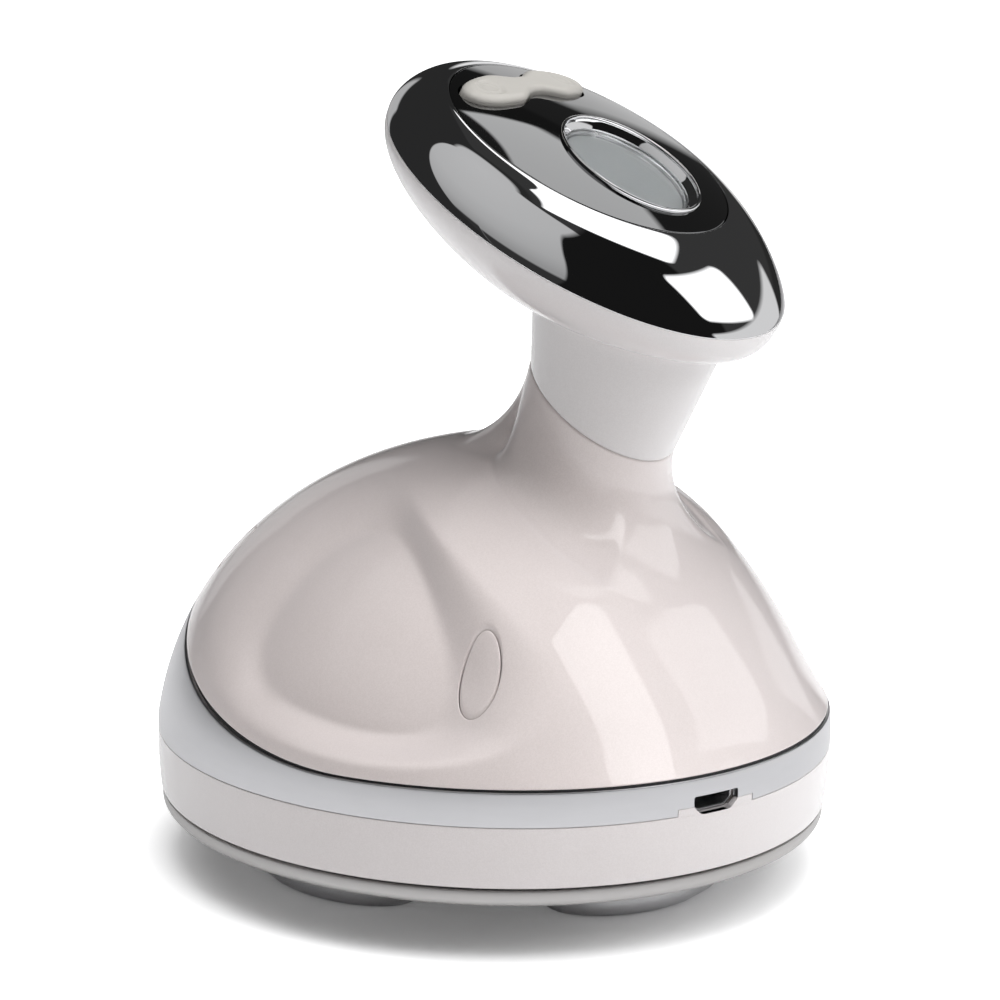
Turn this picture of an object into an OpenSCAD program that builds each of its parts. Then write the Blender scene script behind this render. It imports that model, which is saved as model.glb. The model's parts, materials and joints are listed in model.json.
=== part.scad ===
// Hand-held body massager with a domed base, a leaning neck and a tilted round head.
// The origin is on the floor under the middle of the base, and -Y is the charging port side.

/* [Base] */
// Radius of the base at its widest line
base_r = 50; // [48:0.5:54]
// Height of the widest line over the floor, which is the lower edge of the metal band
line_z = 20; // [18:0.5:23]
// Height of the pearl side wall below the metal band
wall_h = 8.75; // [7:0.25:10]
// Height of the metal electrodes, from the floor to the bottom plate
pad_h = 7.4; // [6:0.1:8]
// Thickness of the moulded walls
wall_t = 2; // [1.6:0.1:2.4]

/* [Metal band] */
// Height of the band at the front and the sides
band_h = 4.9; // [4:0.1:7]
// How much higher the band reaches at the back
tail_h = 16.5; // [8:0.5:20]
// Angle from the front at which the band starts to climb
tail_start = 82; // [70:1:100]

/* [Dome] */
// Height of the dome's top over the widest line
dome_h = 44.5; // [42:0.5:47]
// Roundness of the dome in plan
dome_p = 1.88; // [1.7:0.02:2.1]
// Fullness of the dome in profile
dome_q = 1.66; // [1.5:0.02:1.8]
// How far forward the top of the dome sits
dome_lean = 8.1; // [6:0.1:10]
// Depth of the finger scoop on each side
scoop_depth = 4.4; // [2:0.1:5]
// Depth of the flat sides at the neck's foot
side_depth = 3.2; // [0:0.1:4]

/* [Neck] */
// Radius of the neck at its parting line
neck_r = 12.3; // [11.8:0.1:12.8]
// How far the middle of the parting line lies in front of the origin
neck_y = 17.2; // [16:0.1:18.5]
// Height of the parting line's middle over the widest line
neck_z = 51; // [50:0.1:52.5]
// Tilt of the parting line towards the front
neck_tilt = 36.5; // [33:0.1:38]

/* [Head] */
// Half width of the head across the symmetry plane
head_r = 30.4; // [28:0.1:32]
// Length of the head over its width
head_long = 1.05; // [1:0.01:1.1]
// How far the middle of the rim lies in front of the origin
head_y = 13.5; // [12:0.1:15]
// Height of the rim's middle over the widest line
head_z = 78.5; // [76:0.5:82]
// Tilt of the rim towards the front
head_tilt = 29; // [26:0.5:32]
// Radius of the mirror panel in the middle of the head
panel_r = 21.8; // [20:0.1:23]
// Height of the panel's edge over the widest line
panel_z = 87.05; // [85:0.05:89]
// Tilt of the panel towards the front
panel_tilt = 28; // [26:0.5:30]
// How far the middle of the panel is crowned
panel_crown = 2.25; // [1.8:0.05:2.6]

/* [Display and key] */
// Radius of the display's chrome bezel
bezel_r = 11.2; // [10.8:0.1:11.4]
// Distance of the display's middle from the panel's middle, towards the front
display_y = 6.9; // [6.4:0.1:7.2]
// Distance of the key's middle from the panel's middle, towards the back
key_y = 13.5; // [13:0.1:14]
// Half the length of the rocker key
key_len = 13.9; // [12.5:0.1:14.2]
// Half the width of the key's two lobes
key_w = 3.8; // [3.4:0.1:4]
// Half the width of the key's waist
key_waist = 2.1; // [1.8:0.1:2.6]
// How far the key stands over the panel
key_h = 1.2; // [0.8:0.1:1.6]

/* [Charging port] */
// Angle of the port from the front, towards the left
port_angle = 18.9; // [15:0.1:24]
// Width of the port's opening
port_w = 7.9; // [7.5:0.1:8.4]
// Height of the port's opening
port_h = 2.6; // [2.4:0.1:3]
// Height of the port's middle over the widest line
port_z = 1.1; // [0.8:0.1:1.4]

/* [Hidden] */

// Columns round the lofted shells, and round the upper shell
cols = 72;
shell_cols = 96;
// Fineness of true circles
fine = 96;
// Width of the visible joint between two shells
joint_gap = 0.35;
// Clearance round the key and the electrodes' studs
key_gap = 0.4;
// Height of the underside of the side wall over the floor
wall_z = line_z - wall_h;
// Thickness of the floor of the base shell
floor_t = 2;
// Top of the floor of the base shell
floor_z = wall_z + floor_t;
// Underside of the bottom plate at its edge
plate_z = wall_z - 3;
// Thickness of a circuit board
board_t = 1.6;
// Top of the main board, which carries the port's metal case
board_top = line_z + port_z - port_h / 2;
// Top of the posts that carry the inner tray
tray_z = line_z + 2;
// Where the upper shell's screw tubes meet the base shell's bosses
split_z = line_z + 3.5;
// Seat of the housing screws' heads
seat_z = line_z + 7;
// Middle of the motor, over the floor and in front of the origin
motor_z = line_z + 14;
motor_y = 15;
// Radius of the motor
motor_r = 8;
// Length of the motor
motor_len = 25;
// Right end of the motor
motor_x = 16;
// Size of the battery
battery_size = [32, 22.4, 11];
// Front face of the battery
battery_y = 1.8;
// Radius of the sphere that the mirror panel is cut from
crown_r = (panel_r * panel_r + panel_crown * panel_crown) / (2 * panel_crown);
// Thickness of the mirror panel
panel_t = 1.4;
// Depth of the key's pivot below the panel's edge
pivot_depth = 3;
// Depth of the head's circuit board below the panel's edge
head_board_depth = 8;
// Places of the housing screws as [distance from the axis, angle from the front]
front_places = [[40.2, -60], [40.2, 60]];
rear_places = [[38.5, -146], [38.5, 146]];
// Places of the posts that carry the inner tray
tray_places = [[24, -45], [24, 45], [24.7, -124.6], [24.7, 124.6]];
// Places of the posts that carry the main board
board_places = [[36, 30], [36, -95], [36, 95], [36, 180]];
// Places of the screws through the head frame, across and along the panel
frame_places = [[-18, 7.5], [18, 7.5], [-16.3, -10.8], [16.3, -10.8]];
// Places of the legs that carry the head's board
leg_places = [[-13.2, -3.5], [13.2, -3.5], [-6.5, 7.4], [6.5, 7.4]];
// Radius of a screw plug
plug_r = 2.75;
// Angles of the three electrodes from the front
pad_angles = [0, -120, 120];
// Places of the studs on an electrode, as angles from its middle
stud_angles = [-24, 24];
// Distance of the studs from the axis
stud_d = 26;

// S-shaped step from 0 to 1
function smooth(t) = let (c = min(1, max(0, t))) c * c * (3 - 2 * c);
// A point at a distance from the axis and an angle from the front, at a height
function polar(d, u, z) = [d * sin(u), -d * cos(u), z];
// Height of the band's upper edge over the widest line, at an angle from the front
function band_top(u) = band_h + tail_h * smooth((abs(u) - tail_start) / (180 - tail_start));

// The dome: a rounded cone whose plan and profile change from front to back.
// k is the inset from the outer face.
function dome(u, h, k = 0) =
    let (foot = 1.65,
         top = dome_h - k,
         t = min(0.9999, max(0, (h - foot) / (top - foot))),
         p = dome_p - 0.27 * cos(u),
         q = dome_q - 0.675 * cos(u),
         flare = 0.5 * pow((1 + cos(u)) / 2, 3) * exp(-pow((h - band_h) / 3.5, 2))
             + 1.2 * pow((1 + cos(u)) / 2, 6) * exp(-max(h - band_h, 0) / 2.2),
         r = (base_r - k) * pow(1 - pow(t, q), 1 / p) + flare)
    [r * sin(u), -dome_lean * t - r * cos(u), line_z + h];

// The finger scoops: a slanted egg outline seen from the side, sunk into the dome
function scoop_mask(p) =
    let (a0 = -p[1] - 1.95,
         b0 = p[2] - line_z - 21.75,
         slant = -16.7,
         a = (a0 * cos(slant) + b0 * sin(slant)) / 29.5,
         b = (b0 * cos(slant) - a0 * sin(slant)) / (14.85 * (1 - 0.36 * min(1, max(-1, a)))),
         rim = 1 - pow(pow(abs(a), 2.4) + pow(abs(b), 2.4), 1 / 2.4),
         upper = smooth((b + 0.6) / 1.2),
         wide = 0.18 + 0.5 * smooth((a + 0.1) / 0.9) + 0.55 * smooth((-0.15 - a) / 0.65),
         low = 0.36 + 0.36 * smooth((-0.3 - a) / 0.6),
         bank = low * (1 - upper) + wide * upper,
         deep = 0.62 + 0.38 * smooth((a + 0.4) / 1.2))
    smooth(rim / bank) * deep * smooth((abs(p[0]) - 6) / 10);
function scooped(p) =
    let (n = [p[0], p[1], (p[2] - line_z) / 0.75])
    p - n / norm(n) * scoop_depth * scoop_mask(p);

// Height over the widest line at which the neck meets the dome
function neck_foot(u) = dome_h * min(0.991, 0.615 + 0.398 * smooth(abs(u) / 120.6));
// A point of a tilted hoop round the symmetry plane. y and z place its middle, and long
// stretches it along the tilted direction.
function hoop(u, y, z, r, tilt, long = 1) =
    [r * sin(u), -y - long * r * cos(u) * cos(tilt), line_z + z - long * r * cos(u) * sin(tilt)];
// Direction of the neck, upwards
function neck_dir() = [0, -sin(16.4), cos(16.4)];
// A point of the neck's parting line
function parting(u, k = 0) = hoop(u, neck_y, neck_z, neck_r - k, neck_tilt);
// A cubic curve through four controls
function curve(a, b, c, d, t) =
    let (s = 1 - t) s * s * s * a + 3 * s * s * t * b + 3 * s * t * t * c + t * t * t * d;

// The skin of the upper shell. v runs from 0 at its lower edge to 1 at the neck's foot, and
// on to 2 at the parting line.
function skin_low(u, v, k, start) =
    let (foot = neck_foot(u) * (dome_h - k) / dome_h - 1 - 2.35 * (1 - smooth((abs(u) - 12) / 60)))
    scooped(dome(u, start + (foot - start) * v, k));
function skin_corner(u, k) = dome(u, neck_foot(u) * (dome_h - k) / dome_h, k);
function skin_turn(corner) = atan2(corner[0], -corner[1] - neck_y);
function skin_high(u, v, k, start) =
    let (corner = skin_corner(u, k), top = parting(skin_turn(corner), k))
    curve(skin_low(u, 1, k, start), corner, top - neck_dir() * 9, top, v);
// How far the neck's foot is drawn in at each side, beside the fold that runs down its front
function side_draw(u, v) =
    let (s = max(0, (abs(u) - 34 + 23 * (v - 1)) / 22),
         flat = s * s / (s * s + 0.25 * s + 0.12) * (1 - smooth((abs(u) - 62) / 52)))
    side_depth * flat * smooth((v - 0.86) / 0.22) * (1 - smooth((v - 1.2) / 0.75));
function skin(u, v, k, start) =
    (v <= 1 ? skin_low(u, v, k, start) : skin_high(u, v - 1, k, start))
    - polar(side_draw(u, v), skin_turn(skin_corner(u, k)), 0);

// Outer face of the metal band: upright in front, and leaning with the dome at the back
function band_face(u, h, k = 0) =
    let (lean = smooth((abs(u) - 80) / 60))
    polar(base_r - k - 0.012 * h * h, u, line_z + h) * (1 - lean) + dome(u, h, k) * lean;

// The head's cup: a collar from the parting line to the crease, and a bowl up to the rim
function crease(u, k = 0) = hoop(u, neck_y + 3.8, neck_z + 12.9, neck_r + 2 - k, 17.2);
function rim(u, k = 0) = hoop(u, head_y, head_z, head_r - k, head_tilt, head_long);
function collar(u, v, k = 0) = parting(u, k) * (1 - v) + crease(u, k) * v;
function bowl(u, v, k = 0) =
    let (low = crease(u, k),
         high = rim(u, k),
         middle = hoop(u, neck_y + 3.8, neck_z + 12.9, 0, 17.2),
         out = (low - middle) / norm(low - middle),
         drop = max(0.5, 2.6 - 4.5 * cos(u)) - k)
    curve(low, low + out * (8.5 - 2.2 * cos(u)) + neck_dir() * k,
        high - [0, -sin(head_tilt), cos(head_tilt)] * drop, high, v);

// The chrome dome between the rim and the mirror panel
function cap_face(u, v, k = 0) =
    let (c = pow(cos(v * 90), 1.31),
         s = pow(sin(v * 90), 1.31),
         tilt = head_tilt + (panel_tilt - head_tilt) * s)
    hoop(u, head_y + 0.03 * s - k * s * sin(tilt),
        head_z + (panel_z - head_z) * s - k * s * cos(tilt),
        panel_r + (head_r - panel_r) * c - k * c, tilt, head_long + (1 - head_long) * s);

// Height of the crowned panel over its edge
function crown(x, y) = panel_crown - crown_r + sqrt(crown_r * crown_r - x * x - y * y);
// A point given in the panel's own directions
function panel_point(p) = [p[0], -head_y - 0.03 + p[1] * cos(panel_tilt) - p[2] * sin(panel_tilt),
    line_z + panel_z + p[1] * sin(panel_tilt) + p[2] * cos(panel_tilt)];
// Outline of the rocker key: two lobes and a waist. k is the inset.
function key_point(s, k) =
    let (x = (key_len - k) * cos(s),
         w = key_waist + (key_w - key_waist) * smooth((abs(x) - 0.8) / 5.2))
    [x, key_y + (w - k) * sign(sin(s)) * sqrt(1 - pow(abs(cos(s)), 4.5))];
// Outline of an electrode, seen from above. k is the inset.
function pad_point(s, k) =
    let (a = sign(cos(s)) * pow(abs(cos(s)), 0.45),
         b = sign(sin(s)) * pow(abs(sin(s)), 0.45),
         u = 41 * a - sign(a) * 1.6 * k * abs(a),
         outer = 12.6 * cos(u) + sqrt(583 - pow(12.6 * sin(u), 2)) - k,
         inner = 15 + k,
         d = inner + (outer - inner) * (1 - b) / 2)
    [d * sin(u), -d * cos(u)];

// A ring round a cubic curve that lies in the symmetry plane
function cable_ring(a, b, c, d, t) =
    let (p = curve(a, b, c, d, t),
         q = curve(a, b, c, d, t + 0.001) - curve(a, b, c, d, t - 0.001),
         n = [0, q[2], -q[1]] / norm(q))
    [for (i = [0:15]) p + 1.5 * (sin(22.5 * i) * [1, 0, 0] - cos(22.5 * i) * n)];

// The angles round a lofted shell
function turns(n = cols) = [for (i = [0:n - 1]) -180 + 360 * i / n];
// Even steps from 0 to 1
function steps(n) = [for (i = [0:n]) i / n];

// The faces between a stack of rings of m points
function sides(n, m) = [for (i = [0:n - 2]) for (j = [0:m - 1])
    let (a = i * m + j, b = i * m + (j + 1) % m, c = (i + 1) * m + (j + 1) % m, d = (i + 1) * m + j)
    each [[a, c, b], [a, d, c]]];

// A closed solid from a loop of rings
module loft(rings) {
    n = len(rings);
    m = len(rings[0]);
    last = [for (j = [0:m - 1])
        let (a = (n - 1) * m + j, b = (n - 1) * m + (j + 1) % m, c = (j + 1) % m)
        each [[a, c, b], [a, j, c]]];
    polyhedron([for (ring = rings) each ring], concat(sides(n, m), last), convexity = 8);
}

// A closed solid from a stack of rings with a flat cap at each end
module stack(rings) {
    n = len(rings);
    m = len(rings[0]);
    low = [for (j = [0:m - 1]) j];
    high = [for (j = [m - 1:-1:0]) (n - 1) * m + j];
    polyhedron([for (ring = rings) each ring], concat(sides(n, m), [low, high]), convexity = 4);
}

// A closed solid from a stack of rings, each mirrored about the line from its first point to
// its middle one, with both ends closed by strips across that line
module zipped(rings) {
    n = len(rings);
    m = len(rings[0]);
    t = (n - 1) * m;
    low = [for (i = [0:m / 2 - 1]) each [
        if (i > 0) [i, i + 1, m - i],
        if (i < m / 2 - 1) [i + 1, m - i - 1, (m - i) % m]]];
    high = [for (f = low) [t + f[0], t + f[2], t + f[1]]];
    polyhedron([for (ring = rings) each ring], concat(sides(n, m), low, high), convexity = 4);
}

// Moves to a place round the base, with -Y pointing outwards
module at(d, u, z) {
    translate(polar(d, u, z)) rotate([0, 0, u]) children();
}
module places(list, z) {
    for (p = list) translate(polar(p[0], p[1], z)) children();
}
// Moves to the middle of the mirror panel, with +Z out of the panel and -Y to the front
module on_panel() {
    translate([0, -head_y - 0.03, line_z + panel_z]) rotate([panel_tilt, 0, 0]) children();
}
// Moves to the middle of the display, with +Z square to the crowned panel
module on_display() {
    on_panel() translate([0, 0, panel_crown - crown_r])
        rotate([asin(display_y / crown_r), 0, 0]) translate([0, 0, crown_r]) children();
}
// Moves to the middle of the neck's parting line, along the neck
module on_neck() {
    translate([0, -neck_y, line_z + neck_z]) rotate([16.4, 0, 0]) children();
}

// The filled upper shell, for trimming what stands inside it
module shell_core(k) {
    stack([for (v = [0, 0.34, 0.46, 0.58, 0.7, 0.82, 1, 2])
        [for (u = turns(shell_cols)) skin(u, v, k, 0)]]);
}
// The filled cup of the head, for trimming the posts that stand in it
module cup_core(k) {
    stack([for (v = steps(8)) [for (u = turns()) bowl(u, v, k)]]);
}

// A bent wire through a list of points
module wire(points, r) {
    for (i = [0:len(points) - 2]) {
        d = points[i + 1] - points[i];
        translate(points[i]) rotate([0, acos(d[2] / norm(d)), atan2(d[1], d[0])])
            cylinder(h = norm(d), r = r, $fn = 24);
    }
    for (i = [1:len(points) - 2]) translate(points[i]) sphere(r = r * 1.04, $fn = 24);
}
// A pan-head screw hanging down from its seat
module screw(head_r, head_h, r, length) {
    difference() {
        cylinder(h = head_h, r = head_r, $fn = fine);
        for (turn = [0, 90]) translate([0, 0, head_h * 0.45]) rotate([0, 0, turn])
            cube([head_r * 1.3, head_r * 0.28, head_h * 1.2], center = true);
    }
    translate([0, 0, -length]) cylinder(h = length + 0.01, r = r, $fn = fine);
}

// The six-sided outline of the charging port, lying across the radius
module port_shape(grow) {
    w = port_w / 2 + grow;
    top = port_h / 2 + grow;
    polygon([[-w, top], [w, top], [w, -0.15 * top],
        [w * 0.66, -top], [-w * 0.66, -top], [-w, -0.15 * top]]);
}
module port_prism(grow, from, length) {
    at(from, -port_angle, line_z + port_z) rotate([90, 0, 0])
        linear_extrude(height = length) port_shape(grow);
}

module base_shell() {
    color([0.86, 0.83, 0.82])
    difference() {
        union() {
            rotate_extrude($fn = fine)
                polygon([[0, wall_z], for (i = [0:8]) let (h = i / 8)
                    [base_r - 0.5 * pow(1 - h, 2.5), wall_z + wall_h * h],
                    [base_r - wall_t, line_z], [base_r - wall_t, floor_z], [0, floor_z]]);
            rotate([0, 0, -26.5 - 90]) rotate_extrude(angle = 15.6, $fn = fine)
                translate([base_r - 1, line_z - 0.5]) square([0.95, 1.5]);
            places(concat(front_places, rear_places), floor_z - 0.01)
                cylinder(h = split_z - floor_z + 0.01, r = 4.2, $fn = fine);
            places(board_places, floor_z - 0.01)
                cylinder(h = board_top - board_t - floor_z + 0.01, r = 2.6, $fn = fine);
            places(tray_places, floor_z - 0.01)
                cylinder(h = tray_z - floor_z + 0.01, r = 2.6, $fn = fine);
        }
        places(concat(front_places, rear_places), floor_z)
            cylinder(h = 20, r = 1.45, $fn = fine);
        places(concat(board_places, tray_places), floor_z)
            cylinder(h = 20, r = 1.05, $fn = fine);
        for (p = pad_angles) for (s = stud_angles) at(stud_d, p + s, 0)
            cylinder(h = 40, r = 1.6, $fn = fine);
        port_prism(0.05, base_r - 8, 12);
    }
}

module bottom_plate() {
    color([0.78, 0.78, 0.79])
    difference() {
        rotate_extrude($fn = fine)
            polygon([[0, plate_z - 0.25], [40, plate_z - 0.25], [44, plate_z - 0.1],
                for (i = [0:6]) [base_r - 2.7 + 2 * sin(i * 15), plate_z + 1.5 - 1.5 * cos(i * 15)],
                [base_r - 0.7, plate_z + 2.35], [base_r - 0.95, plate_z + 2.6],
                [base_r - 1.4, plate_z + 2.6], [base_r - 1.6, plate_z + 2.5],
                [base_r - 3.7, plate_z + 2.5], [base_r - 3.7, wall_z], [0, wall_z]]);
        for (p = pad_angles) for (s = stud_angles) at(stud_d, p + s, 0)
            cylinder(h = 40, r = 1.6, $fn = fine);
    }
}

module plate_seal() {
    color([0.2, 0.2, 0.21])
    rotate_extrude($fn = fine) translate([base_r - 3.6, plate_z + 2.5]) square([1.7, 0.5]);
}

// One electrode: a rounded metal cup with two studs
module electrode(turn) {
    color([0.74, 0.74, 0.75])
    rotate([0, 0, turn]) {
        difference() {
            stack([for (p = [[2.4, 0], [1.3, 0.25], [0.45, 0.9], [0, 1.9], [0, pad_h]])
                [for (i = [0:47]) let (q = pad_point(7.5 * i, p[0])) [q[0], q[1], p[1]]]]);
            stack([for (p = [[3.2, 1.3], [1.4, 2.4], [1.4, pad_h + 1]])
                [for (i = [0:47]) let (q = pad_point(7.5 * i, p[0])) [q[0], q[1], p[1]]]]);
        }
        for (s = stud_angles) at(stud_d, s, 1.2) {
            cylinder(h = 16 - 1.2, r = 1.5, $fn = fine);
            cylinder(h = pad_h - 1.4, r = 2.6, $fn = fine);
        }
    }
}
module front_electrode() {
    electrode(pad_angles[0]);
}
module left_electrode() {
    electrode(pad_angles[1]);
}
module right_electrode() {
    electrode(pad_angles[2]);
}

module electrode_gaskets() {
    color([0.24, 0.24, 0.25])
    for (turn = pad_angles) rotate([0, 0, turn]) translate([0, 0, pad_h]) difference() {
        linear_extrude(height = plate_z - 0.25 - pad_h)
            polygon([for (i = [0:47]) pad_point(7.5 * i, 0.3)]);
        translate([0, 0, -1]) linear_extrude(height = 4)
            polygon([for (i = [0:47]) pad_point(7.5 * i, 1.3)]);
    }
}

module electrode_nuts() {
    color([0.75, 0.72, 0.62])
    for (p = pad_angles) for (s = stud_angles) at(stud_d, p + s, floor_z) difference() {
        cylinder(h = 2.2, r = 3, $fn = 6);
        translate([0, 0, -1]) cylinder(h = 5, r = 1.55, $fn = fine);
    }
}

module contact_pins() {
    color([0.85, 0.7, 0.35])
    for (p = pad_angles) for (s = stud_angles) at(stud_d, p + s, 16) {
        cylinder(h = board_top - board_t - 16, r = 0.7, $fn = fine);
        cylinder(h = 0.9, r = 1.2, $fn = fine);
    }
}

module main_board() {
    color([0.1, 0.32, 0.2])
    union() {
        difference() {
            translate([0, 0, board_top - board_t]) cylinder(h = board_t, r = base_r - 3.7, $fn = fine);
            places(concat(front_places, rear_places), 0) cylinder(h = 40, r = 4.5, $fn = fine);
            places(tray_places, 0) cylinder(h = 40, r = 2.9, $fn = fine);
            places(board_places, 0) cylinder(h = 40, r = 1.3, $fn = fine);
        }
        translate([30, -12, board_top - 0.01]) cube([8, 8, 1.1]);
        translate([-36, -10, board_top - 0.01]) cube([7, 9, 1.2]);
        translate([-3, -35, board_top - 0.01]) cube([6, 4, 2.2]);
        translate([-9, 31.5, board_top - 0.01]) cube([5, 3, 1.6]);
        translate([24.5, -16, board_top - 0.01]) cube([3, 5, 1.6]);
    }
}

module board_screws() {
    color([0.7, 0.7, 0.72])
    places(board_places, board_top) screw(1.9, 1.3, 1, 5);
}

module charging_port() {
    color([0.8, 0.8, 0.82])
    union() {
        difference() {
            port_prism(-0.12, base_r - 8.4, 7);
            port_prism(-0.42, base_r - 7.6, 12);
        }
        for (x = [-3, 2.2]) at(base_r - 8, -port_angle, board_top)
            translate([x, -3, 0]) cube([0.8, 3, 0.25]);
    }
}

module port_tongue() {
    color([0.12, 0.12, 0.13])
    at(base_r - 7.6, -port_angle, line_z + port_z + 0.1)
        translate([-1.9, -4.6, 0]) cube([3.8, 4.6, 0.55]);
}

module output_coil() {
    color([0.72, 0.42, 0.22])
    translate([-30, 20, board_top]) {
        cylinder(h = 0.8, r = 6, $fn = fine);
        rotate_extrude($fn = fine) polygon([[0, 0.7], [5.2, 0.7],
            for (i = [0:6]) [5.2 + 0.35 * (i % 2), 1 + 0.65 * i], [5.2, 5.2], [0, 5.2]]);
        translate([0, 0, 5.1]) cylinder(h = 0.8, r = 6, $fn = fine);
    }
}

module buzzer() {
    color([0.1, 0.1, 0.11])
    translate([30, 18, board_top]) difference() {
        cylinder(h = 4.2, r = 4.8, $fn = fine);
        translate([0, 0, 3.4]) cylinder(h = 2, r = 1, $fn = fine);
    }
}

module inner_tray() {
    color([0.84, 0.84, 0.82])
    difference() {
        union() {
            translate([-20, -27.5, tray_z]) cube([40, 53.5, 2]);
            translate([-23, 9.5, tray_z]) cube([46, 9, 2]);
            for (x = [-6, 9]) translate([x, -27.5, tray_z + 1.9]) cube([3, 25, motor_z - tray_z - 1.9]);
            translate([-battery_size[0] / 2 - 1.7, battery_y - 1.4, tray_z + 1.9])
                cube([battery_size[0] + 3.4, battery_size[1] + 2.8, 7]);
        }
        translate([-battery_size[0] / 2 - 0.2, battery_y, tray_z + 2])
            cube([battery_size[0] + 0.4, battery_size[1] + 0.1, 20]);
        translate([-20, -motor_y, motor_z]) rotate([0, 90, 0])
            cylinder(h = 40, r = motor_r + 0.05, $fn = fine);
        places(tray_places, 0) cylinder(h = 60, r = 1.3, $fn = fine);
        for (x = [-4.5, 10.5]) for (y = [-26, -4]) translate([x, y, motor_z - 6])
            cylinder(h = 20, r = 0.75, $fn = fine);
    }
}

module tray_screws() {
    color([0.7, 0.7, 0.72])
    places(tray_places, tray_z + 2) screw(2, 1.3, 1, 7);
}

module battery() {
    color([0.32, 0.42, 0.62])
    translate([-battery_size[0] / 2, battery_y, tray_z + 3]) {
        translate([0, 1, 0]) cube([battery_size[0], battery_size[1] - 1, battery_size[2]]);
        translate([3, 0, 1]) cube([battery_size[0] - 6, 1.1, battery_size[2] - 2]);
    }
}

module battery_pad() {
    color([0.2, 0.2, 0.22])
    translate([-battery_size[0] / 2 + 1, battery_y + 1.5, tray_z + 2])
        cube([battery_size[0] - 2, battery_size[1] - 3, 1]);
}

module power_leads() {
    color([0.7, 0.12, 0.12])
    wire([[-6.5, battery_y + battery_size[1] + 0.3, tray_z + 10], [-6.5, 28.5, tray_z + 9],
        [-6.5, 33, tray_z + 3], [-6.5, 33, board_top + 1.6]], 0.8);
    color([0.7, 0.12, 0.12])
    wire([[motor_x + 0.6, -motor_y + 3, motor_z - 3], [19.5, -13, motor_z - 5],
        [26, -13.5, tray_z + 4], [26, -13.5, board_top + 1.6]], 0.8);
}

module vibration_motor() {
    color([0.72, 0.73, 0.75])
    translate([motor_x, -motor_y, motor_z]) rotate([0, -90, 0]) difference() {
        union() {
            cylinder(h = motor_len, r = motor_r, $fn = fine);
            translate([0, 0, motor_len - 0.01]) cylinder(h = 1.6, r = 3, $fn = fine);
        }
        translate([0, 0, 4]) cylinder(h = motor_len, r = 1.1, $fn = fine);
    }
}

module motor_clip() {
    color([0.76, 0.76, 0.78])
    difference() {
        union() {
            translate([-6, -motor_y, motor_z]) rotate([0, 90, 0])
                cylinder(h = 18, r = motor_r + 1.2, $fn = fine);
            translate([-6, -27.5, motor_z]) cube([18, 25, 1.2]);
        }
        translate([-8, -motor_y, motor_z]) rotate([0, 90, 0])
            cylinder(h = 30, r = motor_r + 0.05, $fn = fine);
        translate([-20, -40, motor_z - 20]) cube([60, 50, 20]);
        for (x = [-4.5, 10.5]) for (y = [-26, -4]) translate([x, y, motor_z - 6])
            cylinder(h = 20, r = 0.95, $fn = fine);
    }
}

module clip_screws() {
    color([0.7, 0.7, 0.72])
    for (x = [-4.5, 10.5]) for (y = [-26, -4]) translate([x, y, motor_z + 1.2])
        screw(1.4, 1, 0.7, 5.5);
}

module motor_shaft() {
    color([0.8, 0.8, 0.82])
    translate([motor_x - 6, -motor_y, motor_z]) rotate([0, -90, 0])
        cylinder(h = motor_len + 3, r = 1, $fn = fine);
}

module motor_weight() {
    color([0.55, 0.55, 0.57])
    translate([motor_x - motor_len - 2.4, -motor_y, motor_z]) rotate([0, -90, 0]) difference() {
        union() {
            cylinder(h = 6, r = 2.6, $fn = fine);
            rotate([0, 0, 90]) rotate_extrude(angle = 180, $fn = fine) square([7.5, 6]);
        }
        translate([0, 0, -1]) cylinder(h = 10, r = 1, $fn = fine);
    }
}

module chrome_band() {
    color([0.82, 0.82, 0.83])
    difference() {
        loft(concat(
            [for (v = [0, 0.3, 0.6, 0.9, 1]) [for (u = turns())
                let (k = v == 1 ? 0.3 : 0) band_face(u, band_top(u) * v, k)]],
            [for (v = [1, 0.5, 0]) [for (u = turns()) band_face(u, band_top(u) * v, 1)]]));
        rotate([0, 0, -26.6 - 90]) rotate_extrude(angle = 15.8, $fn = fine)
            translate([base_r - 3, line_z - 1]) square([6, 2.05]);
        port_prism(0.05, base_r - 8, 12);
    }
}

module band_seal() {
    color([0.12, 0.12, 0.13])
    loft([for (p = [[0.35, 0.1], [0.35, 0.88], [1.12, 0.88], [1.12, 0.1]]) [for (u = turns())
        band_face(u, band_top(u) + joint_gap * p[1], p[0])]]);
}

module upper_shell() {
    color([0.88, 0.85, 0.84])
    difference() {
        union() {
            loft(concat(
                [for (h = [0.15, 1]) [for (u = turns(shell_cols))
                    band_face(u, h == 1 ? band_top(u) + joint_gap : h, 1.25)]],
                [for (v = [0, 0.02, each [0.08:0.07:0.94], each [1:0.15:1.95], 1.98, 2])
                    [for (u = turns(shell_cols))
                        skin(u, v, v == 0 || v == 2 ? 0.25 : 0, band_top(u) + joint_gap)]],
                [for (v = [2, 1.6, 1.2, 1, 0.84, 0.64, 0.44, 0.24, 0.06])
                    [for (u = turns(shell_cols)) skin(u, v, wall_t, band_top(u) + joint_gap)]],
                [[for (u = turns(shell_cols)) band_face(u, 0.15, 3.2)]]));
            intersection() {
                shell_core(1);
                places(concat(front_places, rear_places), split_z)
                    cylinder(h = 60, r = 4.2, $fn = fine);
            }
        }
        places(concat(front_places, rear_places), 0) cylinder(h = 60, r = 1.7, $fn = fine);
        places(concat(front_places, rear_places), seat_z)
            cylinder(h = 60, r = plug_r + 0.1, $fn = fine);
        port_prism(0.15, base_r - 8, 12);
    }
}

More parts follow.
